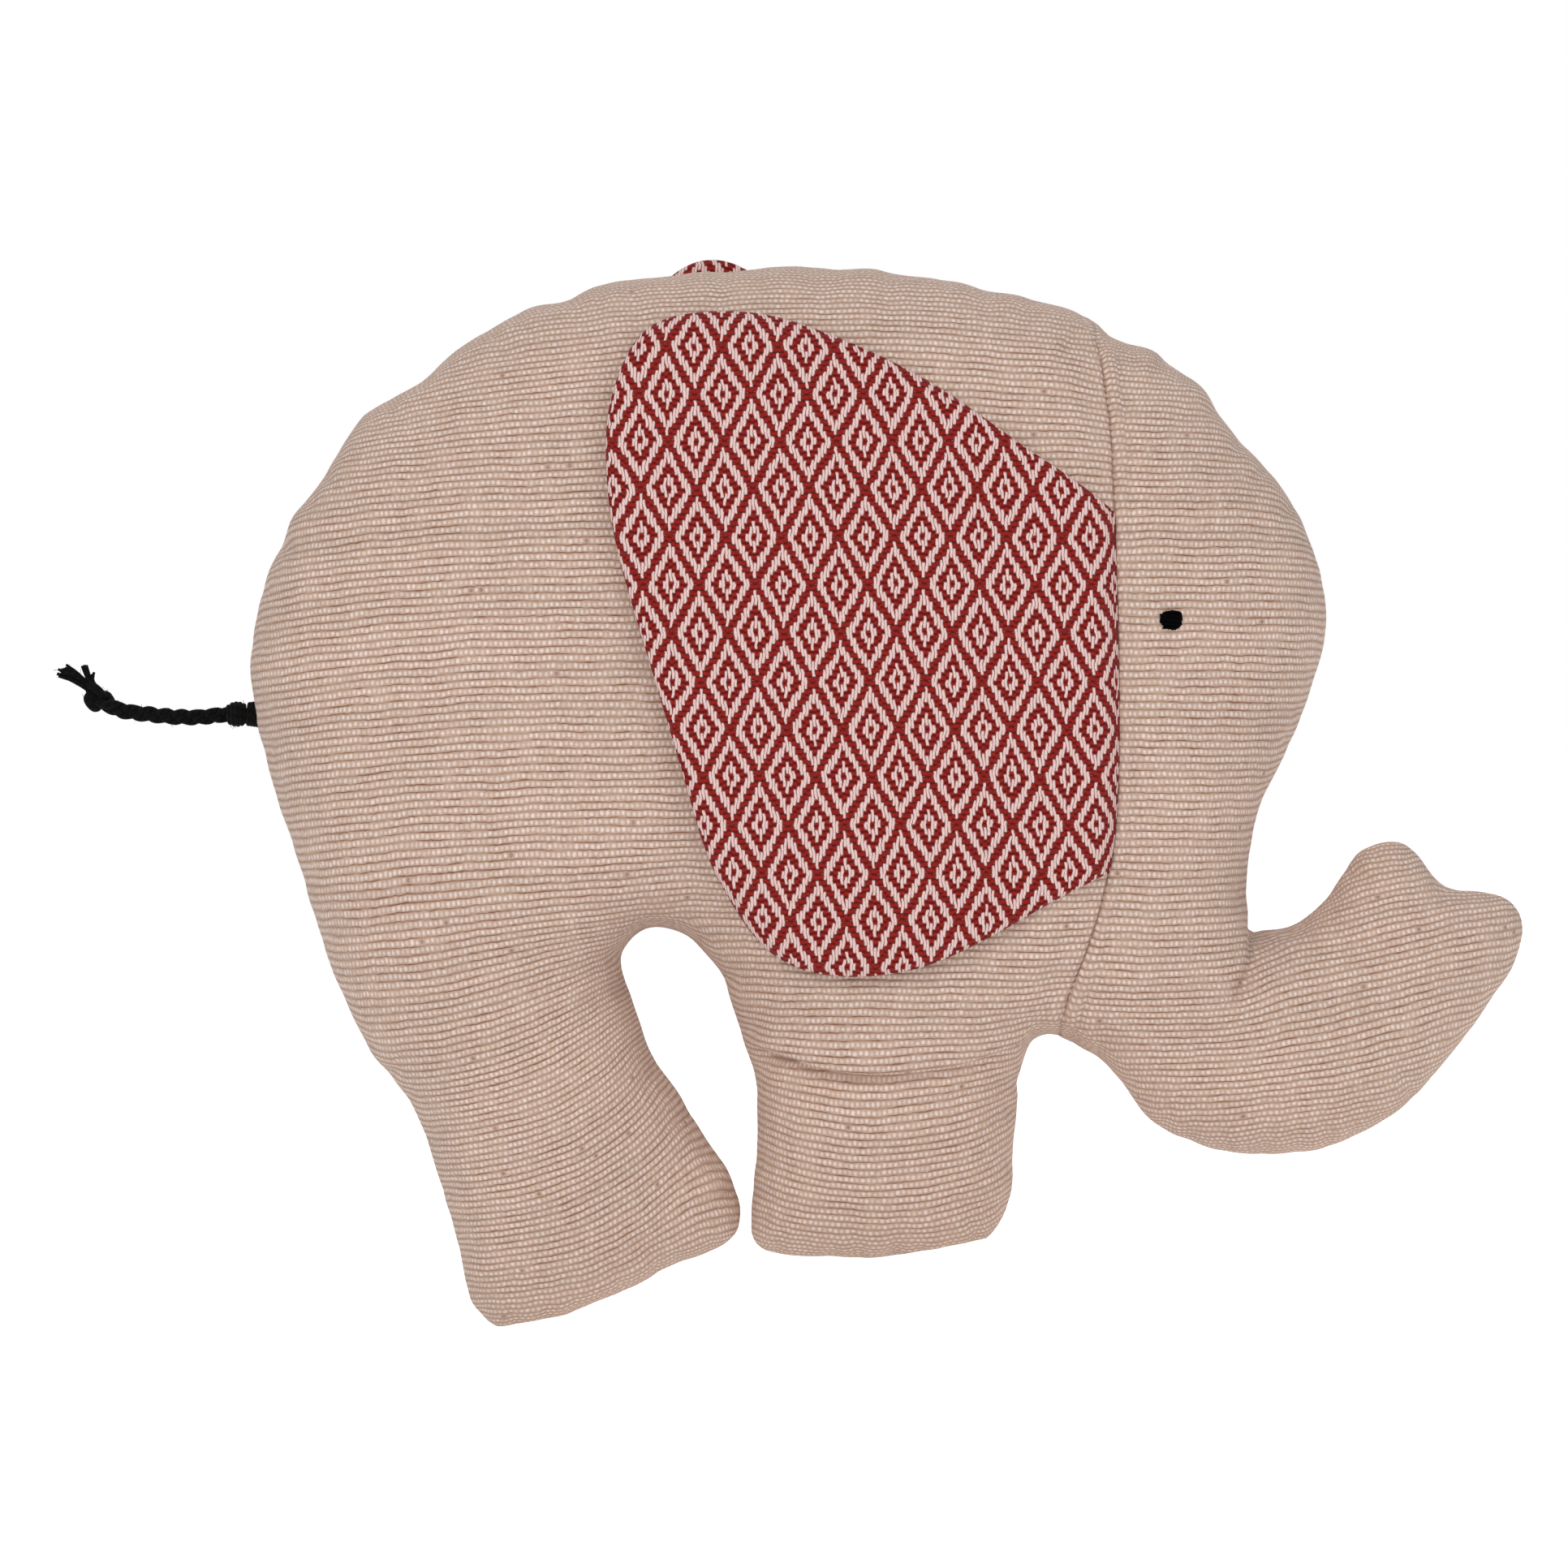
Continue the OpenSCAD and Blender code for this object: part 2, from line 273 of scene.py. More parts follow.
# Yarn fibres: attribute "strand" holds (mm along, turns round, strand number).
yarn_group, w, gin, gout = new_group(
    "yarn_twist",
    [("Strand", "NodeSocketVector", None), ("Dark", "NodeSocketColor", (0.008, 0.007, 0.007, 1)),
     ("Light", "NodeSocketColor", (0.05, 0.046, 0.046, 1)), ("Ply length", "NodeSocketFloat", 2.2)],
    [("Color", "NodeSocketColor"), ("Height", "NodeSocketFloat")],
)
along, around, number = w.split(gin.outputs["Strand"])
lay_of_ply = w.plus(w.math("DIVIDE", along, gin.outputs["Ply length"]), w.times(around, 2.0))
ply = w.math("ABSOLUTE", w.math("SINE", w.times(lay_of_ply, math.pi)))
fuzz = w.noise(w.xyz(w.times(along, 1.6), w.times(around, 5.0), number), 3.0, 3.0, 0.7)
# Colour runs from the dark colour between the plies to the light one on their crowns: painted shade and highlight on
# the plies, varied at random by the fuzz.
ply_shade_and_fuzz = w.times(w.math("POWER", ply, 0.6), w.ramp(fuzz, 0.3, 0.75, 0.4, 1.0))
w.feed(gout.inputs["Color"], w.mix(ply_shade_and_fuzz, gin.outputs["Dark"], gin.outputs["Light"]))
w.feed(gout.inputs["Height"], w.plus(w.times(ply, 0.7), w.times(fuzz, 0.5)))


def yarn_material(name, dark, light, ply_mm):
    mat, wires, bsdf = new_material(name, 0.85, sheen=0.25, sheen_rough=0.45, specular=0.25)
    node = mat.node_tree.nodes.new("ShaderNodeGroup")
    node.node_tree = yarn_group
    strand = mat.node_tree.nodes.new("ShaderNodeAttribute")
    strand.attribute_name = "strand"
    wires.feed(node.inputs["Strand"], strand.outputs["Vector"])
    node.inputs["Dark"].default_value = (*dark, 1)
    node.inputs["Light"].default_value = (*light, 1)
    node.inputs["Ply length"].default_value = ply_mm
    wires.feed(bsdf.inputs["Base Color"], node.outputs["Color"])
    raise_surface(wires, bsdf, node.outputs["Height"], 0.00018, 0.9)
    return mat


black_yarn = yarn_material("black_wool_yarn", (0.0015, 0.0014, 0.0014), (0.010, 0.009, 0.009), 1.4)
black_yarn.node_tree.nodes["Principled BSDF"].inputs["Sheen Weight"].default_value = 0.04
black_yarn.node_tree.nodes["Principled BSDF"].inputs["Specular IOR Level"].default_value = 0.08

# ---------------------------------------------------------------------------
# The tail: three strands of black yarn plaited, wrapped thick where they leave
# the rump seam, tied in an overhand knot and left frayed behind it.
TAIL_ROUTE = [
    (-0.1233, 0.1367), (-0.1250, 0.1365), (-0.1268, 0.1363), (-0.1286, 0.1361), (-0.1304, 0.1361),
    (-0.1322, 0.1361), (-0.1340, 0.1362), (-0.1358, 0.1363), (-0.1376, 0.1365), (-0.1394, 0.1367),
    (-0.1412, 0.1369), (-0.1430, 0.1371), (-0.1448, 0.1374), (-0.1466, 0.1378), (-0.1482, 0.1385),
]
TAIL_PIVOT = (-120.2, 136.8)
KNOT_MIDDLE = (-151.1, 140.4)
PLAIT_REPEAT = 10.8
ROOT_HALF, ROOT_HEIGHT = 2.1, 2.25


def smooth_line(points, step, smooth=2):
    """Points joined by a rounded line, spaced by step."""
    p = np.asarray(points, float)
    for _ in range(smooth):
        q = np.repeat(p, 2, axis=0)[1:-1].reshape(-1, 2, p.shape[1])
        cut = np.stack([0.75 * q[:, 0] + 0.25 * q[:, 1], 0.25 * q[:, 0] + 0.75 * q[:, 1]], 1).reshape(-1, p.shape[1])
        p = np.vstack([p[:1], cut, p[-1:]])
    run = np.r_[0, np.cumsum(np.linalg.norm(np.diff(p, axis=0), axis=1))]
    at = np.linspace(0, run[-1], max(3, int(run[-1] / step) + 1))
    return np.stack([np.interp(at, run, p[:, k]) for k in range(p.shape[1])], 1)


class Strands:
    """Collects yarn tubes, in pattern-plane mm, into one mesh with its strand attribute."""

    def __init__(self):
        self.verts, self.faces, self.note = [], [], []

    def add(self, path, radii, sides=8, closed=False, flat=1.0):
        path = np.asarray(path, float)
        n = len(path)
        radii = np.broadcast_to(np.asarray(radii, float), (n,))
        if closed:
            tangents = np.roll(path, -1, 0) - np.roll(path, 1, 0)
        else:
            tangents = np.gradient(path, axis=0)
        tangents /= np.linalg.norm(tangents, axis=1)[:, None] + 1e-12
        normal = np.cross(tangents[0], (0.13, 0.9, 0.41))
        base, run, last = len(self.verts), 0.0, path[0]
        for i in range(n):
            normal -= tangents[i] * (normal @ tangents[i])
            normal /= np.linalg.norm(normal)
            other = np.cross(tangents[i], normal)
            run += np.linalg.norm(path[i] - last)
            last = path[i]
            for k in range(sides):
                a = 2 * math.pi * k / sides
                self.verts.append(path[i] + radii[i] * (math.cos(a) * normal + flat * math.sin(a) * other))
                self.note.append((run, k / sides, base * 0.01))
        rows = n if closed else n - 1
        for i in range(rows):
            for k in range(sides):
                a, b = base + i * sides, base + ((i + 1) % n) * sides
                self.faces.append((a + k, a + (k + 1) % sides, b + (k + 1) % sides, b + k))
        if not closed:
            self.faces.append(tuple(base + k for k in reversed(range(sides))))
            self.faces.append(tuple(base + (n - 1) * sides + k for k in range(sides)))

    def finish(self, name, material):
        obj = mesh_object(name, stand(np.array(self.verts)), self.faces)
        notes = obj.data.attributes.new("strand", "FLOAT_VECTOR", "POINT")
        notes.data.foreach_set("vector", np.array(self.note, np.float32).ravel())
        obj.data.materials.append(material)
        return obj


def plait(strands, line, half_width, half_depth, yarn, repeat, start=0.0):
    """Three yarns plaited along a line in the pattern plane."""
    line = np.asarray(line, float)
    step = np.linalg.norm(np.diff(line, axis=0), axis=1)
    run = np.r_[0, np.cumsum(step)] + start
    head = np.gradient(line, axis=0)
    head /= np.linalg.norm(head, axis=1)[:, None]
    side = np.stack([-head[:, 1], head[:, 0]], 1)
    for k in range(3):
        phase = 2 * math.pi * (run / repeat + k / 3)
        across, deep = half_width * np.sin(phase), half_depth * np.sin(2 * phase)
        path = np.stack([line[:, 0] + side[:, 0] * across, deep, line[:, 1] + side[:, 1] * across], 1)
        strands.add(path, yarn * (1 + 0.06 * np.sin(run * 2.1 + k)), 9)


def fuzz_hairs(strands, line, count, reach, seed):
    """Short fine fibres that stand off the yarn."""
    rng = np.random.default_rng(seed)
    line = np.asarray(line, float)
    for _ in range(count):
        i = rng.integers(1, len(line) - 1)
        out = rng.normal(size=3)
        out /= np.linalg.norm(out)
        root = line[i] + out * reach * 0.8
        tip = root + out * rng.uniform(0.5, 1.3) + rng.normal(size=3) * 0.45
        bend = (root + tip) / 2 + rng.normal(size=3) * 0.25
        strands.add([root, bend, tip], [0.05, 0.045, 0.02], 4)


route_mm = np.array([(TAIL_PIVOT[0] - 0.6, TAIL_PIVOT[1])] + [(x * 1000, z * 1000) for x, z in TAIL_ROUTE]
                    + [(-149.6, 139.3), KNOT_MIDDLE])
tail_line = smooth_line(route_mm, 0.4)
tail_parts = Strands()
plait(tail_parts, tail_line, 0.98, 0.5, 0.86, PLAIT_REPEAT)
fuzz_hairs(tail_parts, np.insert(tail_line, 1, 0, axis=1), 60, 1.5, 3)
tail_cord = tail_parts.finish("tail_cord_plait", black_yarn)
bend_from, bend_to = (stand([TAIL_PIVOT[0] - off, 0, TAIL_PIVOT[1]]) for off in (2.4, 7.8))
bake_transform(tail_cord)
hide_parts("tail_cord")

# The knot: the doubled-back plait drawn tight, so it shows as fat crossing lobes.
knot_parts = Strands()
t = np.linspace(0, 2 * math.pi, 90, endpoint=False)
trefoil = np.stack([np.sin(t) + 2 * np.sin(2 * t), -np.sin(3 * t), np.cos(t) - 2 * np.cos(2 * t)], 1)
tilt = math.radians(35)
for offset, size in ((0.0, 0.98), (0.5, 0.98)):
    wander = np.stack([0.35 * np.cos(5 * t + 6 * offset), 0.3 * np.sin(4 * t + 9 * offset), 0 * t], 1)
    loop = trefoil * (1.08, 1.3, 0.74) + wander * (1 if offset else -1)
    turned = np.stack([loop[:, 0] * math.cos(tilt) + loop[:, 2] * math.sin(tilt), loop[:, 1],
                       -loop[:, 0] * math.sin(tilt) + loop[:, 2] * math.cos(tilt)], 1)
    knot_parts.add(turned + (KNOT_MIDDLE[0], 0, KNOT_MIDDLE[1]), size, 9, closed=True)
fuzz_hairs(knot_parts, turned + (KNOT_MIDDLE[0], 0, KNOT_MIDDLE[1]), 40, 0.9, 5)
tail_knot = knot_parts.finish("tail_overhand_knot", black_yarn)
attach(tail_knot, "tail")
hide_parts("tail_knot")

# The frayed ends: the three yarns untwist into a loose brush.
tuft_parts = Strands()
rng = np.random.default_rng(11)
TUFT_ENDS = [
    ((-152.6, 141.6), (-155.8, 144.2), (-159.6, 145.6)), ((-152.8, 142.0), (-156.0, 144.9), (-159.5, 146.6)),
    ((-152.4, 142.4), (-155.2, 145.3), (-158.4, 147.1)), ((-152.6, 142.0), (-155.6, 144.6), (-158.9, 146.1)),
    ((-151.8, 142.2), (-153.2, 144.8), (-154.0, 147.4)), ((-151.4, 142.2), (-152.3, 144.0), (-152.4, 146.0)),
]
for n_yarn, ends in enumerate(TUFT_ENDS):
    for _ in range(6 if n_yarn < 4 else 4):
        jitter = rng.normal(size=(3, 3)) * [[0.2, 0.4, 0.2], [0.25, 0.5, 0.25], [0.3, 0.6, 0.3]]
        path = np.array([(x, 0.0, z) for x, z in ends]) + jitter
        line = smooth_line(path, 0.5)
        tuft_parts.add(line, np.linspace(0.5, 0.34, len(line)) * rng.uniform(0.8, 1.15), 7)
brush_middle = np.array([(-153.5, 0, 143.0), (-155.0, 0, 144.4), (-156.5, 0, 145.2), (-158.5, 0, 146.2),
                         (-159.5, 0, 146.4)])
fuzz_hairs(tuft_parts, brush_middle, 30, 1.1, 12)
tail_tuft = tuft_parts.finish("tail_frayed_tuft", black_yarn)
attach(tail_tuft, "tail")
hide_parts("tail_tuft")

cord_path = stand(np.insert(smooth_line(route_mm, 1.2), 1, 0, axis=1))

# The root: the same yarn wound round the start of the plait as a small ball.
root_parts = Strands()
turns = np.linspace(0, 1, 150)
coil_angle = turns * 2 * math.pi * 5
coil_x = TAIL_PIVOT[0] - ROOT_HALF + 2 * ROOT_HALF * turns
swell = ROOT_HEIGHT * np.sqrt(np.clip(1 - ((turns - 0.5) / 0.62) ** 2, 0, 1))
root_coil = np.stack([coil_x, swell * np.cos(coil_angle), TAIL_PIVOT[1] + swell * np.sin(coil_angle)], 1)
root_parts.add(root_coil, 0.62, 9)
core_x = np.linspace(-2.4, 2.4, 14)
root_parts.add(np.stack([TAIL_PIVOT[0] + core_x, 0 * core_x, TAIL_PIVOT[1] + 0 * core_x], 1),
               2.2 * np.sqrt(np.clip(1 - (core_x / 2.7) ** 2, 0.02, 1)), 14)
fuzz_hairs(root_parts, root_coil, 24, 0.6, 8)
tail_root = root_parts.finish("tail_root_wrap", black_yarn)
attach(tail_root, "tail_base")
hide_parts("tail_root")

# The end sewn into the rump seam, with its stop knot inside the filling.
anchor_parts = Strands()
sewn_in_line = smooth_line([(x, TAIL_PIVOT[1]) for x in (-108.5, -113.0, -117.6)], 0.4)
plait(anchor_parts, sewn_in_line, 0.85, 0.42, 0.75, PLAIT_REPEAT, 4.0)
collar = np.linspace(0, 1, 90)
collar_angle = collar * 2 * math.pi * 4 + 0.5
collar_size = 2.5 - 0.35 * collar
anchor_parts.add(np.stack([-115.2 - 2.7 * collar, collar_size * np.cos(collar_angle),
                           TAIL_PIVOT[1] + collar_size * np.sin(collar_angle)], 1), 0.55, 8)
anchor_parts.add(trefoil * 0.55 + (-108.8, 0, TAIL_PIVOT[1]), 0.6, 8, closed=True)
tail_anchor = anchor_parts.finish("tail_sewn_in_end", black_yarn)
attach(tail_anchor, "body")
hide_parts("tail_anchor")

# ---------------------------------------------------------------------------
# The body: two mirrored side panels of ribbed handwoven cotton, sewn face to face
# round the whole outline, turned out and stuffed. Each side is pieced at the neck.
OUTLINE = [
    (-117.1, 150.0), (-115.0, 162.0), (-113.3, 168.7), (-109.6, 175.0), (-107.6, 180.9), (-101.7, 188.3),
    (-93.1, 201.8),
    (-90.5, 204.0), (-78.8, 210.8), (-71.5, 217.3), (-55.6, 226.5), (-47.3, 228.5), (-38.5, 232.1),
    (-23.0, 234.0), (-6.3, 235.2), (4.0, 235.8), (17.0, 235.3), (25.5, 234.7), (38.7, 232.3),
    (52.2, 229.5), (66.1, 226.0), (72.7, 220.8),
    (83.0, 217.4), (86.5, 214.0), (93.0, 209.9), (98.1, 202.1), (108.0, 191.2), (115.2, 181.1),
    (119.2, 171.4), (120.9, 163.8), (120.3, 150.8), (115.9, 136.6), (107.9, 119.2), (105.6, 112.9),
    (104.5, 107.6), (103.9, 101.0), (104.1, 96.0), (106.2, 91.2), (110.4, 89.4), (115.0, 90.3), (121.0, 95.6),
    (128.0, 105.2), (131.0, 107.3), (136.3, 109.0), (140.1, 107.6), (144.6, 101.3), (146.7, 99.3),
    (150.3, 97.9), (155.3, 97.8), (161.1, 96.1), (164.2, 93.2), (165.1, 89.6), (164.7, 86.6), (161.6, 79.0),
    (152.1, 65.3), (143.5, 54.5), (139.3, 50.5), (131.8, 45.2), (123.1, 41.4), (117.4, 39.8), (108.4, 39.0),
    (96.5, 40.3), (91.4, 41.8), (86.2, 44.4), (81.6, 47.5), (74.4, 57.2), (70.8, 60.5), (65.6, 63.9),
    (61.4, 65.6), (57.6, 65.2), (54.9, 62.0), (52.5, 48.6), (51.7, 32.0), (49.7, 25.0), (46.4, 20.6),
    (41.6, 18.5), (29.5, 16.7), (11.7, 16.5), (1.3, 16.8), (-3.2, 17.9), (-5.9, 20.8), (-6.3, 26.0),
    (-5.1, 40.1), (-5.1, 50.9), (-6.3, 58.1), (-10.1, 71.8), (-13.8, 80.6), (-18.5, 86.5), (-22.1, 88.9),
    (-27.7, 89.5), (-32.0, 87.7), (-34.6, 84.4), (-35.0, 81.1), (-34.0, 76.9), (-31.1, 68.7), (-26.1, 58.3),
    (-11.5, 35.6), (-8.6, 28.0), (-8.9, 22.8), (-12.2, 19.2), (-17.1, 16.7), (-24.3, 14.3), (-29.9, 11.2),
    (-44.6, 4.7), (-58.9, 0.5), (-62.8, 0.9), (-66.0, 3.2), (-68.8, 8.1), (-72.9, 25.2), (-78.3, 43.4),
    (-80.2, 47.9), (-83.7, 53.6), (-90.7, 62.8), (-97.8, 77.2), (-107.4, 106.7),
    (-112.2, 121.7), (-114.1, 128.2), (-115.9, 134.2), (-116.6, 142.0),
]
NECK = [(66.0, 260.0), (69.3, 222.5), (71.1, 215.0), (72.9, 200.5), (73.5, 179.0), (74.4, 133.0), (73.9, 115.0),
        (72.6, 103.0), (69.0, 88.5), (64.6, 77.0), (62.4, 70.0), (61.5, 66.0), (61.5, 40.0)]
RINGS = [0.0, 0.04, 0.15, 0.35, 0.65, 1.05, 1.6, 2.2, 2.9]
EDGE_STEP = 1.25
GRID_STEP = 1.45
THICK_CLOTH = 0.9
SOLE_AT, SOLE_STARTS = 0.0006, 0.0016


def rounded_loop(points, step):
    """A closed smooth line through the points, evenly spaced."""
    p = np.asarray(points, float)
    a, b, c, d = np.roll(p, 1, 0), p, np.roll(p, -1, 0), np.roll(p, -2, 0)
    t = np.linspace(0, 1, 16, endpoint=False)[:, None, None]
    line = 0.5 * (2 * b + (c - a) * t + (2 * a - 5 * b + 4 * c - d) * t ** 2 + (3 * b - 3 * c + d - a) * t ** 3)
    line = line.transpose(1, 0, 2).reshape(-1, 2)
    closed = np.vstack([line, line[:1]])
    run = np.r_[0, np.cumsum(np.linalg.norm(np.diff(closed, axis=0), axis=1))]
    at = np.linspace(0, run[-1], int(run[-1] / step), endpoint=False)
    even = np.stack([np.interp(at, run, closed[:, k]) for k in (0, 1)], 1)
    return (np.roll(even, 1, 0) + 2 * even + np.roll(even, -1, 0)) / 4


def distance_to(points, line, closed=False):
    """Distance to a line, its sign (left of the line is positive), and how far along the nearest point is."""
    p = np.asarray(points, float)
    a = np.asarray(line, float)
    b = np.roll(a, -1, 0) if closed else a[1:]
    a = a if closed else a[:-1]
    ab = b - a
    size = (ab ** 2).sum(1) + 1e-12
    run = np.r_[0, np.cumsum(np.sqrt(size))]
    far, side, along = np.empty(len(p)), np.empty(len(p)), np.empty(len(p))
    for i in range(0, len(p), 2000):
        q = p[i:i + 2000, None, :] - a[None]
        t = np.clip((q * ab).sum(2) / size, 0, 1)
        off = q - t[..., None] * ab
        d = (off ** 2).sum(2)
        k = d.argmin(1)
        rows = np.arange(len(k))
        far[i:i + 2000] = np.sqrt(d[rows, k])
        side[i:i + 2000] = np.sign(ab[k, 0] * q[rows, k, 1] - ab[k, 1] * q[rows, k, 0])
        along[i:i + 2000] = run[k] + t[rows, k] * np.sqrt(size[k])
    return far, side, along


rim = rounded_loop(OUTLINE, EDGE_STEP)
if ((np.roll(rim, -1, 0)[:, 0] - rim[:, 0]) * (np.roll(rim, -1, 0)[:, 1] + rim[:, 1])).sum() < 0:
    rim = rim[::-1]
# The rim now runs clockwise, so its inner side is on the right.
rim_way = np.roll(rim, -1, 0) - np.roll(rim, 1, 0)
for _ in range(2):
    rim_way = (np.roll(rim_way, 1, 0) + 2 * rim_way + np.roll(rim_way, -1, 0)) / 4
rim_way /= np.linalg.norm(rim_way, axis=1)[:, None]
rim_out = np.stack([-rim_way[:, 1], rim_way[:, 0]], 1)
neck = smooth_line(NECK, 1.0, 3)

# How full the toy is: a soap-film height over the flat outline gives tubes of
# round section in the legs and trunk and a broad rounded barrel.
X0, Z0 = -126.0, -6.0
COLS, ROWS = 300, 250


def inside_loop(x, z, loop):
    hit = np.zeros(np.shape(x), bool)
    ax, az = loop[-1]
    for bx, bz in loop:
        if az != bz:
            cross = ((az > z) != (bz > z)) & (x < (bx - ax) * (z - az) / (bz - az) + ax)
            hit ^= cross
        ax, az = bx, bz
    return hit


def film(step, start=None, rounds=400):
    """Height of a soap film over the outline, on a grid of that step."""
    gx, gz = np.meshgrid(X0 + step * np.arange(int(COLS / step) + 1), Z0 + step * np.arange(int(ROWS / step) + 1))
    inside = inside_loop(gx, gz, rim)
    h = np.zeros_like(gx) if start is None else look_up(start[0], start[1], gx, gz)
    h = h * inside
    for _ in range(rounds):
        around = h[:-2, 1:-1] + h[2:, 1:-1] + h[1:-1, :-2] + h[1:-1, 2:]
        h[1:-1, 1:-1] = 0.25 * (around + step * step) * inside[1:-1, 1:-1]
    return h, step, gx, gz, inside


def look_up(field, step, x, z):
    """Value of a gridded field between its nodes."""
    i = np.clip((np.asarray(z) - Z0) / step, 0, field.shape[0] - 1.001)
    j = np.clip((np.asarray(x) - X0) / step, 0, field.shape[1] - 1.001)
    a, b = i.astype(int), j.astype(int)
    fi, fj = i - a, j - b
    return ((1 - fi) * ((1 - fj) * field[a, b] + fj * field[a, b + 1])
            + fi * ((1 - fj) * field[a + 1, b] + fj * field[a + 1, b + 1]))


coarse = film(5.0, None, 900)
middle = film(2.5, coarse, 500)
fine = film(1.25, middle, 300)
film_height, film_step, grid_x, grid_z, grid_in = fine
flat_nodes = np.stack([grid_x.ravel(), grid_z.ravel()], 1)
near, _, _ = distance_to(flat_nodes[grid_in.ravel()], rim, closed=True)
grid_s = np.zeros(grid_in.size)
grid_s[grid_in.ravel()] = near
grid_s = grid_s.reshape(grid_in.shape)
# Near the seam the film falls in proportion to the distance, so its slope is
# carried out to the seam from a little way in.
slope_known = grid_s > 3.2
film_slope = np.where(slope_known, film_height / np.maximum(grid_s, 1), 0)
known = slope_known.astype(float)
for _ in range(10):
    total, count = np.zeros_like(film_slope), np.zeros_like(known)
    for di, dj in ((0, 1), (0, -1), (1, 0), (-1, 0), (1, 1), (1, -1), (-1, 1), (-1, -1)):
        total += np.roll(film_slope * known, (di, dj), (0, 1))
        count += np.roll(known, (di, dj), (0, 1))
    fresh = (known == 0) & (count > 0)
    film_slope[fresh] = total[fresh] / count[fresh]
    known[fresh] = 1


def fullness(x, z, s):
    """Half thickness of the stuffed toy, in mm, at a point s mm inside the seam."""
    inner = look_up(film_height, film_step, x, z)
    edge = look_up(film_slope, film_step, x, z) * s
    t = np.clip((s - 3.4) / 2.6, 0, 1)
    height = edge * (1 - t) + inner * t
    radius = np.sqrt(2 * np.maximum(height, 0))
    return 1.013 * radius / (1 + radius / 97.8)


# Places in the flat panel: rings close to the seam, lines along the neck and the
# folds, and an even spread between them.
LEG_FOLD = smooth_line([(-7.8, 63.2), (-6.3, 62.5), (2.9, 59.9), (11.0, 57.1), (19.3, 56.5), (35.8, 57.4),
                        (48.2, 61.2), (54.9, 64.8)], 1.0)
TRUNK_FOLD = smooth_line([(106.4, 91.4), (106.0, 89.5), (104.2, 82.8), (101.7, 76.7), (99.9, 73.3)], 1.0)


def crossing(line, loop):
    """Where a line cuts the loop: the loop's nearest point numbers."""
    gap, side, _ = distance_to(loop, line)
    near = (gap < 12) & (np.sign(side) != np.sign(np.roll(side, -1)))
    return [int(i) for i in np.nonzero(near)[0]]


cuts = crossing(neck, rim)
places = [rim - rim_out * s for s in RINGS]
for cut in cuts:
    at = rim[cut]
    _, _, along = distance_to(at[None], neck)
    k = int(np.clip(round(float(along[0])), 2, len(neck) - 3))
    way = neck[k + 1] - neck[k - 1]
    way /= np.linalg.norm(way)
    if way @ rim_out[cut] > 0:
        way = -way
    # The cut's own column follows the neck seam, and its neighbours fan round to it.
    for m in range(-12, 13):
        n_at = (cut + m) % len(rim)
        share = 0.5 + 0.5 * math.cos(math.pi * m / 12.5)
        inward = -(1 - share) * rim_out[n_at] + share * way
        inward /= -(inward @ rim_out[n_at])
        start = rim[n_at] + (share ** 3) * (neck[k] + way * ((at - neck[k]) @ way) - at)
        for ring_n, s in enumerate(RINGS):
            places[ring_n][n_at] = start + inward * s
inner_loop = places[-1]
ring_count, rim_count = len(RINGS), len(rim)

spread = []
for row, z in enumerate(np.arange(0, 240, GRID_STEP * 0.866)):
    x = np.arange(-122, 170, GRID_STEP) + (GRID_STEP / 2 if row % 2 else 0)
    spread.append(np.stack([x, np.full_like(x, z)], 1))
spread = np.vstack(spread)
spread = spread[inside_loop(spread[:, 0], spread[:, 1], inner_loop)]
gap, _, _ = distance_to(spread, inner_loop, closed=True)
spread = spread[gap > 0.8]


def lines_beside(line, offsets, step, clear=1.0):
    """Lines parallel to a fold or seam, kept clear of the inner ring."""
    base = smooth_line(line, step, 1)
    way = np.gradient(base, axis=0)
    way /= np.linalg.norm(way, axis=1)[:, None]
    left = np.stack([-way[:, 1], way[:, 0]], 1)
    rows = np.vstack([base + left * o for o in offsets])
    rows = rows[inside_loop(rows[:, 0], rows[:, 1], inner_loop)]
    gap, _, _ = distance_to(rows, inner_loop, closed=True)
    return rows[gap > clear]


neck_inside = neck[inside_loop(neck[:, 0], neck[:, 1], inner_loop)]
gap, _, _ = distance_to(neck_inside, inner_loop, closed=True)
neck_inside = neck_inside[gap > 0.9]
neck_rows = lines_beside(neck, (-3.4, -2.4, -1.6, -0.95, -0.45, 0.45, 0.95, 1.6, 2.4, 3.4), 1.1)
leg_rows = lines_beside(LEG_FOLD, (-2.6, -1.7, -1.0, -0.5, 0, 0.5, 1.0, 1.7, 2.6), 1.1)
trunk_rows = lines_beside(TRUNK_FOLD, (-2.6, -1.7, -1.0, -0.5, 0, 0.5, 1.0, 1.7, 2.6), 1.1)
for line, reach in ((neck, 4.2), (LEG_FOLD, 3.4), (TRUNK_FOLD, 3.4)):
    gap, _, _ = distance_to(spread, line)
    spread = spread[gap > reach]
gap, _, _ = distance_to(leg_rows, neck)
leg_rows = leg_rows[gap > 3.9]
free_points = np.vstack([spread, neck_rows, leg_rows, trunk_rows])

neck_start = rim_count
flat = np.vstack([inner_loop, neck_inside, free_points])
fixed_edges = [(i, (i + 1) % rim_count) for i in range(rim_count)]
fixed_edges += [(neck_start + i, neck_start + i + 1) for i in range(len(neck_inside) - 1)]
for i in cuts:
    ends = (0, len(neck_inside) - 1)
    k = min(ends, key=lambda e: np.linalg.norm(neck_inside[e] - inner_loop[i]))
    fixed_edges.append((i, neck_start + k))
cdt = geometry.delaunay_2d_cdt([Vector(p) for p in flat], fixed_edges, [], 0, 1e-5)
made = np.array([tuple(p) for p in cdt[0]])
came_from = [ids[0] if ids else -1 for ids in cdt[3]]
tris = np.array([f for f in cdt[2] if len(f) == 3])
middle_of = made[tris].mean(1)
tris = tris[inside_loop(middle_of[:, 0], middle_of[:, 1], inner_loop)]
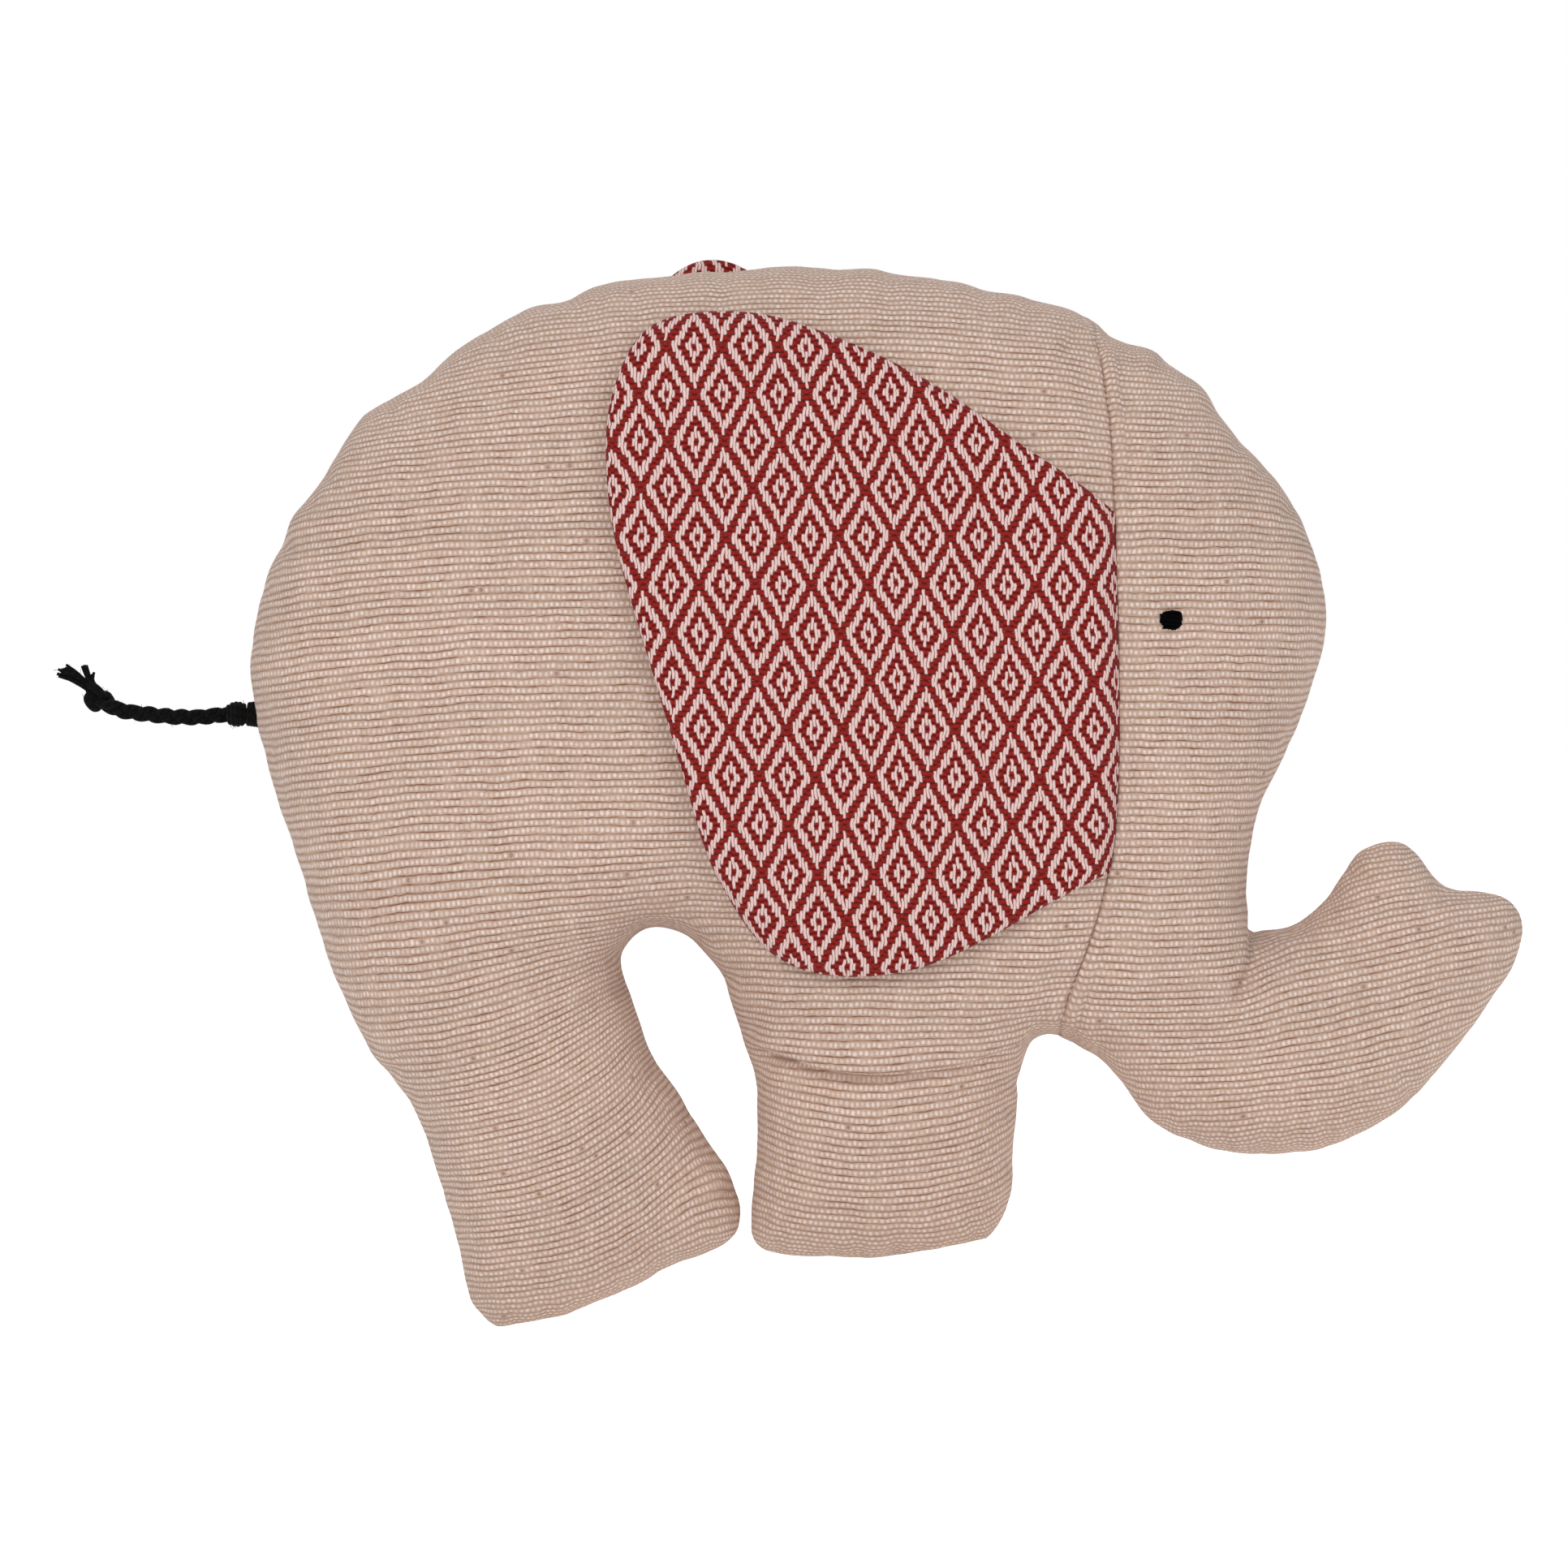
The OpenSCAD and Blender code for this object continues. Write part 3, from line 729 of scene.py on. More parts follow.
# Inner-loop points keep the numbers of the last ring, so strips and inside join.
renumber = np.empty(len(made), int)
extra = []
offset_of_last_ring = (ring_count - 1) * rim_count
for k, origin in enumerate(came_from):
    if 0 <= origin < rim_count:
        renumber[k] = offset_of_last_ring + origin
    else:
        renumber[k] = ring_count * rim_count + len(extra)
        extra.append(made[k])
panel_flat = np.vstack([np.vstack(places), np.array(extra)])
tris = renumber[tris]
strips = []
for j in range(ring_count - 1):
    for i in range(rim_count):
        a, b = j * rim_count + i, j * rim_count + (i + 1) % rim_count
        c, d = (j + 1) * rim_count + (i + 1) % rim_count, (j + 1) * rim_count + i
        strips.append((a, b, c, d))
strips = np.array(strips)
a, b, c = (panel_flat[tris[:, k]] for k in range(3))
turned_over = ((b - a)[:, 0] * (c - a)[:, 1] - (b - a)[:, 1] * (c - a)[:, 0]) > 0
tris[turned_over] = tris[turned_over][:, ::-1]

# Shape of the stuffed panel over those flat places.
ring_s = np.repeat(RINGS, rim_count)
inside_s, _, _ = distance_to(panel_flat[ring_count * rim_count:], rim, closed=True)
_, _, rim_along = distance_to(panel_flat, rim, closed=True)
rim_along[:ring_count * rim_count] = np.tile(np.arange(rim_count) * EDGE_STEP, ring_count)
seam_s = np.r_[ring_s, inside_s]
px_, pz_ = panel_flat[:, 0], panel_flat[:, 1]
half_depth = fullness(px_, pz_, seam_s)
all_faces = [tuple(q) for q in strips] + [tuple(t) for t in tris]


def bell(v, width):
    return np.exp(-(v / width) ** 2)


def soft_step(v, low, high):
    t = np.clip((v - low) / (high - low), 0, 1)
    return t * t * (3 - 2 * t)


def bumpy(points, size, seed, octaves=3):
    """Smooth random unevenness between about -1 and 1."""
    r = np.random.default_rng(seed)
    total, weight = np.zeros(len(points)), 0.0
    for o in range(octaves):
        for _ in range(5):
            way = r.normal(size=points.shape[1])
            way *= (1.9 ** o) / size / np.linalg.norm(way) * 2 * math.pi * r.uniform(0.6, 1.4)
            total += np.sin(points @ way + r.uniform(0, 6.28)) * 0.6 ** o
        weight += 0.6 ** o
    return total / (weight * 2.2)


def point_normals(verts, faces):
    """Outward directions at the points of a mesh of triangles and quads."""
    n = np.zeros_like(verts)
    for count in (3, 4):
        f = np.array([q for q in faces if len(q) == count])
        if len(f):
            corner = [verts[f[:, k]] for k in range(count)]
            if count == 4:
                across = np.cross(corner[2] - corner[0], corner[3] - corner[1])
            else:
                across = np.cross(corner[1] - corner[0], corner[2] - corner[0])
            for k in range(count):
                np.add.at(n, f[:, k], across)
    return n / (np.linalg.norm(n, axis=1)[:, None] + 1e-12)


# Puckers: short dents that run in from the seam where each stitch bites harder.
r = np.random.default_rng(21)
rim_length = rim_count * EDGE_STEP
pucker_at, here = [], 2.0
while here < rim_length - 6:
    pucker_at.append((here, r.uniform(0.25, 1.0), r.uniform(5, 15), r.uniform(-0.5, 0.5)))
    here += r.uniform(5.5, 13)
pucker = np.zeros(len(panel_flat))
for at, deep, reach, lean in pucker_at:
    side = (rim_along - at - lean * seam_s + rim_length / 2) % rim_length - rim_length / 2
    pucker -= deep * bell(side, 1.5 + 0.12 * seam_s) * np.exp(-seam_s / reach) * soft_step(seam_s, -0.3, 1.2)

neck_gap, neck_side, neck_along = distance_to(panel_flat, neck)
# Left of the neck line, seen from its top, is the head side when it runs downward.
neck_d = neck_gap * neck_side
if np.median(neck_d[px_ > 100]) < 0:
    neck_d = -neck_d
at_rim = soft_step(seam_s, 0.3, 5)
seam_neck = -0.7 * bell(neck_d, 0.5) * (0.12 + 0.88 * soft_step(seam_s, 0.5, 9))
seam_neck += 0.55 * soft_step(neck_d, 0.3, 1.0) * (1 - soft_step(neck_d, 2.5, 3.3)) * (0.3 + 0.7 * at_rim)
seam_neck -= 0.25 * bell(neck_d - 3.4, 0.5) * at_rim
seam_neck -= 1.3 * bell(neck_d, 6.5) * soft_step(seam_s, 0, 12)
seam_neck += 0.7 * soft_step(-neck_d, 4, 9) * (1 - soft_step(-neck_d, 9, 26)) * soft_step(seam_s, 4, 18)
neck_pull = np.zeros(len(panel_flat))
here = 3.0
while here < 175:
    lean, side_of = r.uniform(-0.35, 0.35), r.uniform()
    out = np.abs(neck_d)
    pull = r.uniform(0.15, 0.6) * bell(neck_along - here - lean * out,
                                       1.7 + 0.1 * out) * np.exp(-out / r.uniform(4, 10))
    neck_pull -= pull * soft_step(neck_d * (1 if side_of > 0.5 else -1), -1.5, 1.5)
    here += r.uniform(5, 11)

# The belly bulges over the top of the front leg in a soft fold.
fold_gap, _, fold_along = distance_to(panel_flat, LEG_FOLD)
above = fold_gap * np.where(pz_ > np.interp(px_, LEG_FOLD[:, 0], LEG_FOLD[:, 1]), 1, -1)
fold_on = soft_step(fold_along, 0, 7) * (1 - soft_step(fold_along, 52, 66))
sharp = 1 - 0.45 * soft_step(fold_along, 22, 46)
fold = -3.1 * bell(above, 1.2) * sharp + 2.1 * sharp * soft_step(above, 0.2, 2.4) * (1 - soft_step(above, 3.5, 17))
fold -= 1.5 * sharp * soft_step(-above, 0.2, 1.5) * (1 - soft_step(-above, 2.5, 14))
fold *= fold_on
for x0, z0, lean, long_, deep in ((44, 53, 0.22, 14, 0.6), (49, 70, -0.25, 11, 0.5), (40, 64, 0.12, 9, 0.4),
                                  (6, 54, 0.1, 11, 0.35), (26, 66, 0.05, 13, 0.35)):
    run = (px_ - x0) * math.cos(lean) + (pz_ - z0) * math.sin(lean)
    off = -(px_ - x0) * math.sin(lean) + (pz_ - z0) * math.cos(lean)
    fold -= deep * bell(off, 1.6) * bell(run, long_)

bend_gap, _, bend_along = distance_to(panel_flat, TRUNK_FOLD)
crook = -2.0 * bell(bend_gap, 1.3) * (1 - soft_step(bend_along, 14, 26))
crook -= 1.1 * bell(bend_gap, 4.5) * (1 - soft_step(bend_along, 10, 26))
for x0, z0, lean, long_, deep in ((112, 77, -1.1, 9, 0.4), (104, 68, 1.45, 8, 0.35), (142, 92, -0.8, 7, 0.3),
                                  (92, 60, 1.1, 10, 0.35)):
    run = (px_ - x0) * math.cos(lean) + (pz_ - z0) * math.sin(lean)
    off = -(px_ - x0) * math.sin(lean) + (pz_ - z0) * math.cos(lean)
    crook -= deep * bell(off, 1.8) * bell(run, long_)

seam_groove = -1.15 * bell(half_depth, 0.95) * soft_step(-seam_s, -2.5, 0)
lumps = 0.42 * bumpy(panel_flat, 42, 4) * soft_step(seam_s, 2, 14)
lumps += 0.12 * bumpy(panel_flat, 13, 9, 2) * soft_step(seam_s, 0.5, 4)
lumps += 0.28 * bumpy(panel_flat, 21, 77, 2) * (1 - soft_step(seam_s, 2, 12))
swell_mm = pucker + seam_neck + neck_pull + fold + crook + seam_groove + lumps


def make_side(side):
    """One side of the toy in the pattern plane: side -1 is its right, +1 its left."""
    verts = np.stack([px_, side * half_depth, pz_], 1)
    faces = all_faces if side < 0 else [f[::-1] for f in all_faces]
    n = point_normals(verts, faces)
    if (n[:, 1] * side)[ring_count * rim_count:].mean() < 0:
        faces = [f[::-1] for f in faces]
        n = -n
    n[:rim_count] = np.stack([rim_out[:, 0], 0 * rim_out[:, 0], rim_out[:, 1]], 1)
    more = 0.0 if side < 0 else 0.25 * bumpy(panel_flat, 35, 14) * soft_step(seam_s, 4, 16)
    verts = verts + n * (swell_mm + more)[:, None]
    stood = stand(verts)
    # Flat under the soles, where the toy's weight rests.
    low = stood[:, 2]
    pressed = SOLE_AT + 0.001 * np.exp(np.minimum(low - SOLE_STARTS, 0) / 0.0015)
    stood[:, 2] = np.where(low < SOLE_STARTS, np.minimum(pressed, np.maximum(low, SOLE_AT)), low)
    return verts, stood, faces


right_flat, right_stood, right_faces = make_side(-1)
_, left_stood, left_faces = make_side(1)

# Lie of the cloth: the ribs run along the length of the toy, and swing where the
# panel bends over the belly, legs and nape. u counts mm along them, v across.


def rib_slope(x, z):
    """Slope of the ribs, in degrees, rising towards the trunk."""
    rump = 6.0 * (1 - soft_step(x, -110, -30))
    top = -0.15 * (x - 8) * soft_step(z, 185, 222) * (1 - soft_step(x, 50, 80) * 0.3)
    middle_x = -72 + 0.41 * (98 - z)
    rear = np.clip(23 + 0.75 * (x - middle_x), 2, 50) * (1 - soft_step(z, 55, 108)) * (1 - soft_step(x, -30, -8))
    front = np.clip(2 + 0.75 * (x - 23), -20, 38) * (1 - soft_step(z, 42, 78)) * soft_step(x, -14,
                                                                                           -2) * (1 - soft_step(x, 52,
                                                                                                                66))
    trunk = 8.0 * soft_step(x, 84, 104) * (1 - soft_step(z, 88, 112))
    trunk += 5 * soft_step(x, 110, 128) * (1 - soft_step(x, 140, 158)) * (1 - soft_step(z, 95, 120))
    trunk += 20 * bell(x - 107, 5.5) * bell(z - 79, 9) + 12 * bell(x - 127, 8) * bell(z - 100, 9)
    nape = -26 * soft_step(x, 96, 120) * soft_step(z, 165, 195)
    return rump * soft_step(z, 70, 110) + top + rear + front + trunk + nape


def lay_cloth(pitch=1.875):
    gx, gz = np.meshgrid(X0 + pitch * np.arange(int(COLS / pitch)), Z0 + pitch * np.arange(int(ROWS / pitch)))
    s = look_up(grid_s, film_step, gx, gz)
    use = s > 1.7
    depth = np.where(use, fullness(gx, gz, s), 0)
    side = np.where(use, np.where(gx > np.interp(gz, neck[::-1, 1], neck[::-1, 0]), 2, 1), 0)
    tan = np.tan(np.radians(rib_slope(gx, gz)))
    fields = []
    joins = []
    for axis in (0, 1):
        a = (slice(None, -1), slice(None)) if axis == 0 else (slice(None), slice(None, -1))
        b = (slice(1, None), slice(None)) if axis == 0 else (slice(None), slice(1, None))
        ok = (side[a] == side[b]) & (side[a] > 0)
        arc = np.sqrt(pitch ** 2 + (depth[b] - depth[a]) ** 2)
        slope = 0.5 * (tan[a] + tan[b])
        joins.append((a, b, ok, arc, slope))
    for which in ("u", "v"):
        value = gx.copy() if which == "u" else gz.copy()
        wants = []
        for axis, (a, b, ok, arc, slope) in enumerate(joins):
            if which == "v":
                want = arc if axis == 0 else -slope * pitch * np.minimum(arc / pitch, 1.3)
                weight = np.where(ok, 1.0 if axis == 0 else 30.0, 0) * (pitch / arc)
            else:
                want = slope * pitch if axis == 0 else arc
                weight = np.where(ok, 0.35 if axis == 0 else 1.0, 0) * (pitch / arc)
            wants.append((a, b, weight, want))

        def gather(field):
            out = np.zeros_like(field)
            for a, b, weight, _ in wants:
                pull = weight * (field[b] - field[a])
                out[a] -= pull
                out[b] += pull
            return out + 1e-7 * field

        goal = 1e-7 * value
        for a, b, weight, want in wants:
            goal[a] -= weight * want
            goal[b] += weight * want
        left_over = goal - gather(value)
        way, size = left_over.copy(), (left_over ** 2).sum()
        for _ in range(900):
            spread_ = gather(way)
            step = size / (way * spread_).sum()
            value += step * way
            left_over -= step * spread_
            fresh = (left_over ** 2).sum()
            if fresh < 1e-6:
                break
            way = left_over + way * fresh / size
            size = fresh
        fields.append(value)
    # Carry the values a little past the edge of each piece, for reading between nodes.
    per_piece = {}
    for piece in (1, 2):
        out = []
        for value in fields:
            v, known = np.where(side == piece, value, 0), (side == piece).astype(float)
            for _ in range(5):
                total, count = np.zeros_like(v), np.zeros_like(known)
                for di, dj in ((0, 1), (0, -1), (1, 0), (-1, 0)):
                    # A step beyond the edge follows the slope of the nodes behind it.
                    one = np.roll(v * known, (di, dj), (0, 1))
                    two = np.roll(v * known, (2 * di, 2 * dj), (0, 1))
                    both = np.roll(known, (di, dj), (0, 1)) * np.roll(known, (2 * di, 2 * dj), (0, 1))
                    total += both * (2 * one - two)
                    count += both
                fresh = (known == 0) & (count > 0)
                v[fresh] = total[fresh] / count[fresh]
                known[fresh] = 1
            out.append(v)
        per_piece[piece] = out
    return per_piece, pitch


cloth_fields, cloth_pitch = lay_cloth()


def cloth_coordinates(piece):
    """u and v, in mm, at each point of the panel for the body (1) or head (2) piece."""
    uv = np.stack([look_up(cloth_fields[piece][k], cloth_pitch, px_, pz_) for k in (0, 1)], 1)
    edge_lean = np.radians(rib_slope(inner_loop[:, 0], inner_loop[:, 1]))
    for j in range(ring_count - 2, -1, -1):
        here = slice(j * rim_count, (j + 1) * rim_count)
        there = slice((j + 1) * rim_count, (j + 2) * rim_count)
        step = panel_flat[here] - panel_flat[there]
        flat_gap = np.maximum(np.linalg.norm(step, axis=1), 1e-6)
        gap = np.hypot(flat_gap, half_depth[here] - half_depth[there])
        along = (step[:, 0] * np.cos(edge_lean) + step[:, 1] * np.sin(edge_lean)) / flat_gap
        across = (step[:, 1] * np.cos(edge_lean) - step[:, 0] * np.sin(edge_lean)) / flat_gap
        tall = flat_gap + (gap - flat_gap) * np.abs(across)
        uv[here] = uv[there] + np.stack([along * gap, across * tall], 1)
    return uv


def is_head(face):
    return panel_flat[list(face), 0].mean() > np.interp(panel_flat[list(face), 1].mean(), neck[::-1, 1],
                                                        neck[::-1, 0])


face_head = np.array([is_head(f) for f in all_faces])
# Strip faces are parted at the rim points that sit on the neck line.
lo, hi = sorted(cuts)
for n_face in range(len(strips)):
    i = n_face % rim_count
    face_head[n_face] = (lo <= i < hi) == (panel_flat[(lo + hi) // 2, 0] > 70)

# Ribbed cotton: thick rounded wefts packed in rows, each crossed by the warp so it
# shows as a string of small pale beads, with tan between; the brown in the grooves is painted shade.
rib_group, w, gin, gout = new_group(
    "ribbed_cotton_weave",
    [("Lie", "NodeSocketVector", None), ("Rib width", "NodeSocketFloat", 1.95),
     ("Bead length", "NodeSocketFloat", 1.18),
     ("Bead", "NodeSocketColor", (0.89, 0.725, 0.655, 1)), ("Between", "NodeSocketColor", (0.60, 0.42, 0.32, 1)),
     ("Groove", "NodeSocketColor", (0.25, 0.10, 0.05, 1)), ("Groove strength", "NodeSocketFloat", 0.9)],
    [("Color", "NodeSocketColor"), ("Height", "NodeSocketFloat")],
)
u, v, _ = w.split(gin.outputs["Lie"])
drift = w.noise(w.xyz(w.times(u, 0.07), w.times(v, 0.07)), 1.0, 2.0)
fine_drift = w.noise(w.xyz(w.times(u, 0.75), w.times(v, 1.1), 4.0), 1.0, 1.0)
row_at = w.plus(w.math("DIVIDE", v, gin.outputs["Rib width"]), w.plus(w.times(drift, 0.8), w.times(fine_drift, 0.26)))
row = w.math("FLOOR", row_at)
in_row = w.times(w.math("ABSOLUTE", w.minus(w.math("FRACT", row_at), 0.5)), 2.0)
row_chance = w.chance(w.xyz(row, 3.0, 1.0))
bead_at = w.plus(w.math("DIVIDE", u, gin.outputs["Bead length"]), w.plus(w.times(w.math("MODULO", row, 2.0), 0.5),
                                                                         w.times(row_chance, 0.35)))
bead_at = w.plus(bead_at, w.times(w.noise(w.xyz(w.times(u, 0.3), row), 1.0, 1.0), 0.8))
bead_number = w.math("FLOOR", bead_at)
in_bead = w.times(w.math("ABSOLUTE", w.minus(w.math("FRACT", bead_at), 0.5)), 2.0)
each = w.chance(w.xyz(bead_number, row, 7.0))
high_in_row = w.plus(w.times(w.minus(w.math("FRACT", row_at), 0.5), 2.0), w.times(w.minus(each, 0.5), 0.3))
round_bead = w.plus(w.times(w.math("POWER", in_bead, 2.0), 1.35), w.times(w.times(high_in_row, high_in_row), 1.95))
fibre = w.noise(w.xyz(w.times(u, 1.6), w.times(v, 3.4), 6.0), 1.0, 3.0, 0.7)
ragged = w.plus(round_bead, w.times(w.minus(fibre, 0.5), 0.9))
bead = w.ramp(ragged, 0.0, 1.35, 1.0, 0.0)
bead = w.times(bead, w.plus(0.50, w.times(w.chance(w.xyz(bead_number, row, 23.0)), 0.68)), clamp=True)
# Painted shade in the grooves between the ribs, patchy along each rib and weakened near the seams.
groove_shade_patches = w.noise(w.xyz(w.times(u, 0.16), w.times(row, 1.7), 2.0), 1.0, 3.0, 0.65)
groove_shade = w.times(w.ramp(in_row, 0.66, 0.96), w.ramp(groove_shade_patches, 0.36, 0.64, 0.18, 1.0))
groove_shade = w.times(groove_shade, gin.outputs["Groove strength"])
tone = w.plus(w.times(row_chance, 0.08),
              w.times(w.noise(w.xyz(w.times(u, 0.45), w.times(v, 0.02), 9.0), 1.0, 2.0), 0.16))
tone = w.plus(w.plus(tone, 0.80), w.times(w.noise(w.xyz(w.times(u, 0.03), w.times(v, 0.03), 5.0), 1.0, 3.0), 0.16))
colour = w.mix(bead, gin.outputs["Between"], gin.outputs["Bead"])
colour = w.mix(groove_shade, colour, gin.outputs["Groove"])
fleck = w.math("GREATER_THAN", w.chance(w.xyz(bead_number, row, 17.0)), 0.997)
colour = w.mix(w.times(fleck, w.ramp(ragged, 0.3, 1.0, 0.7, 0.0)), colour, gin.outputs["Groove"])
shade_node = w.tree.nodes.new("ShaderNodeVectorMath")
shade_node.operation = "SCALE"
w.feed(shade_node.inputs[0], colour)
w.feed(shade_node.inputs["Scale"], w.times(tone, w.ramp(fibre, 0.2, 0.8, 0.9, 1.06, False)))
w.feed(gout.inputs["Color"], shade_node.outputs[0])
rib_height = w.minus(1.0, w.math("POWER", in_row, 3.0))
w.feed(gout.inputs["Height"], w.plus(w.plus(w.times(rib_height, 0.55), w.times(bead, 0.55)), w.times(fibre, 0.12)))


def ribbed_cotton(name, rib_width, bead_length):
    mat, wires, bsdf = new_material(name, 0.93, sheen=0.12, sheen_rough=0.5, specular=0.15)
    node = mat.node_tree.nodes.new("ShaderNodeGroup")
    node.node_tree = rib_group
    lie = mat.node_tree.nodes.new("ShaderNodeUVMap")
    lie.uv_map = "lie"
    wires.feed(node.inputs["Lie"], lie.outputs["UV"])
    # This point attribute fades the painted groove shade near the seams.
    groove_fade = mat.node_tree.nodes.new("ShaderNodeAttribute")
    groove_fade.attribute_name = "painted_groove_fade"
    wires.feed(node.inputs["Groove strength"], wires.math("MULTIPLY_ADD", groove_fade.outputs["Fac"], -0.5, 0.95))
    node.inputs["Rib width"].default_value = rib_width
    node.inputs["Bead length"].default_value = bead_length
    wires.feed(bsdf.inputs["Base Color"], node.outputs["Color"])
    raise_surface(wires, bsdf, node.outputs["Height"], 0.00025, 1.0)
    return mat


body_cotton = ribbed_cotton("ribbed_cotton_body", 1.70, 1.2)
head_cotton = ribbed_cotton("ribbed_cotton_head", 1.71, 1.19)


def cut_piece(name, stood, faces, keep, uv, material, thickness, groove_fade=None):
    """One cloth piece: some faces of a panel, with the lie of its cloth and its thickness."""
    faces = [f for f, k in zip(faces, keep) if k]
    used = np.unique(np.concatenate([np.array(f) for f in faces]))
    where = np.full(len(stood), -1)
    where[used] = np.arange(len(used))
    obj = mesh_object(name, stood[used], [tuple(where[list(f)]) for f in faces])
    layer = obj.data.uv_layers.new(name="lie")
    corner = np.empty(len(obj.data.loops), int)
    obj.data.loops.foreach_get("vertex_index", corner)
    layer.data.foreach_set("uv", uv[used][corner].astype(np.float32).ravel())
    if groove_fade is not None:
        drawn = obj.data.attributes.new("painted_groove_fade", "FLOAT", "POINT")
        drawn.data.foreach_set("value", groove_fade[used].astype(np.float32))
    obj.data.materials.append(material)
    wall = obj.modifiers.new("cloth_thickness", "SOLIDIFY")
    wall.thickness = thickness / 1000
    wall.offset = -1
    wall.use_even_offset = False
    return obj


# Near the rim seam and along the neck seam the painted groove shade is weakened by up to about half.
groove_shade_fade = np.clip(bell(seam_s, 8.0) + 0.5 * bell(neck_d, 3.0), 0, 1)
body_uv, head_uv = cloth_coordinates(1), cloth_coordinates(2)
for side_name, stood, faces in (("right", right_stood, right_faces), ("left", left_stood, left_faces)):
    for part, keep, uv, material in (("body", ~face_head, body_uv, body_cotton),
                                     ("head", face_head, head_uv, head_cotton)):
        panel = cut_piece(f"{part}_side_{side_name}", stood, faces, keep, uv, material, THICK_CLOTH, groove_shade_fade)
        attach(panel, "body")
        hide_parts(f"{part}_panel_{side_name}")

# ---------------------------------------------------------------------------
# The ears: each a flap of red and pink diamond brocade with a lining of the same
# cloth, sewn and turned so the edge is softly rolled, and caught in the neck seam.
EAR_EDGE = [
    (74.6, 182.3), (66.5, 188.6), (54.0, 196.8), (43.0, 204.8), (32.5, 211.8), (20.0, 218.0),
    (9.0, 222.6), (0.0, 225.6),
    (-9.0, 227.1), (-20.0, 226.7), (-27.5, 224.6), (-32.0, 220.6), (-35.0, 215.0), (-38.2, 205.0),
    (-38.7, 194.5), (-37.6, 180.0),
    (-34.0, 165.5), (-28.5, 147.5), (-21.5, 124.0), (-16.5, 106.0), (-12.5, 98.0), (-7.2, 89.0), (-1.2, 82.6),
    (7.0, 79.0), (18.0, 78.0), (30.5, 79.8), (39.5, 83.3), (50.5, 89.0), (61.0, 95.2), (73.9, 101.6),
]
EAR_STEP = 1.1
LEFT_EAR_RAISED = 15.2
MOTIF_AT = (-17.1, 154.8)
EAR_CLOTH = 0.7
EAR_HINGE, EAR_BEND, EAR_DEPTH, EAR_HEIGHT = 70.0, 15.0, 39.0, 140.0
EAR_SHRINK, SHRINK_ABOUT = 0.024, (1.1, 121.3)

# The flap is cut a little smaller than the traced edge, drawn in about the body's middle.
ear_curve = smooth_line(np.array(EAR_EDGE) * (1 - EAR_SHRINK) + np.array(SHRINK_ABOUT) * EAR_SHRINK, EAR_STEP, 3)
front_z = np.arange(ear_curve[-1, 1] + EAR_STEP, ear_curve[0, 1], EAR_STEP)
front_x = np.interp(front_z, neck[::-1, 1], neck[::-1, 0]) - 0.2
ear_front = np.stack([front_x, front_z], 1)
ear_loop = np.vstack([ear_curve, ear_front])
ear_way = np.roll(ear_loop, -1, 0) - np.roll(ear_loop, 1, 0)
ear_way /= np.linalg.norm(ear_way, axis=1)[:, None]
ear_out = np.stack([-ear_way[:, 1], ear_way[:, 0]], 1)
if (ear_out * (ear_loop - ear_loop.mean(0))).sum(1).mean() < 0:
    ear_out = -ear_out
EAR_RINGS = [0.0, 0.07, 0.28, 0.62, 1.1, 1.7, 2.4]
ear_places = [ear_loop - ear_out * s for s in EAR_RINGS]
ear_inner = ear_places[-1]
fill_rows = []
for row, z in enumerate(np.arange(76, 230, 1.12)):
    x = np.arange(-42, 78, 1.3) + (0.65 if row % 2 else 0)
    fill_rows.append(np.stack([x, np.full_like(x, z)], 1))
fill_rows = np.vstack(fill_rows)
fill_rows = fill_rows[inside_loop(fill_rows[:, 0], fill_rows[:, 1], ear_inner)]
gap, _, _ = distance_to(fill_rows, ear_inner, closed=True)
fill_rows = fill_rows[gap > 0.7]
count = len(ear_loop)
cdt = geometry.delaunay_2d_cdt([Vector(p) for p in np.vstack([ear_inner, fill_rows])],
                               [(i, (i + 1) % count) for i in range(count)], [], 0, 1e-5)
made = np.array([tuple(p) for p in cdt[0]])
base_number = (len(EAR_RINGS) - 1) * count
ear_number, ear_extra = np.empty(len(made), int), []
for k, ids in enumerate(cdt[3]):
    if ids and ids[0] < count:
        ear_number[k] = base_number + ids[0]
    else:
        ear_number[k] = len(EAR_RINGS) * count + len(ear_extra)
        ear_extra.append(made[k])
ear_flat = np.vstack([np.vstack(ear_places), np.array(ear_extra)])
ear_tris = np.array([f for f in cdt[2] if len(f) == 3])
mid = made[ear_tris].mean(1)
ear_tris = ear_number[ear_tris[inside_loop(mid[:, 0], mid[:, 1], ear_inner)]]
ear_quads = [(j * count + i, j * count + (i + 1) % count, (j + 1) * count + (i + 1) % count, (j + 1) * count + i)
             for j in range(len(EAR_RINGS) - 1) for i in range(count)]


def same_turn(faces, flat):
    """Faces of a flat mesh, all turned the same way round."""
    out = []
    for f in faces:
        p = flat[list(f)]
        area = sum(p[k - 1, 0] * p[k, 1] - p[k, 0] * p[k - 1, 1] for k in range(len(f)))
        out.append(tuple(f) if area > 0 else tuple(f)[::-1])
    return out


ear_faces = same_turn(ear_quads + [tuple(t) for t in ear_tris], ear_flat)
edge_s, _, edge_along = distance_to(ear_flat, ear_curve)
ex, ez = ear_flat[:, 0], ear_flat[:, 1]
from_seam = np.interp(ez, neck[::-1, 1], neck[::-1, 0]) - ex

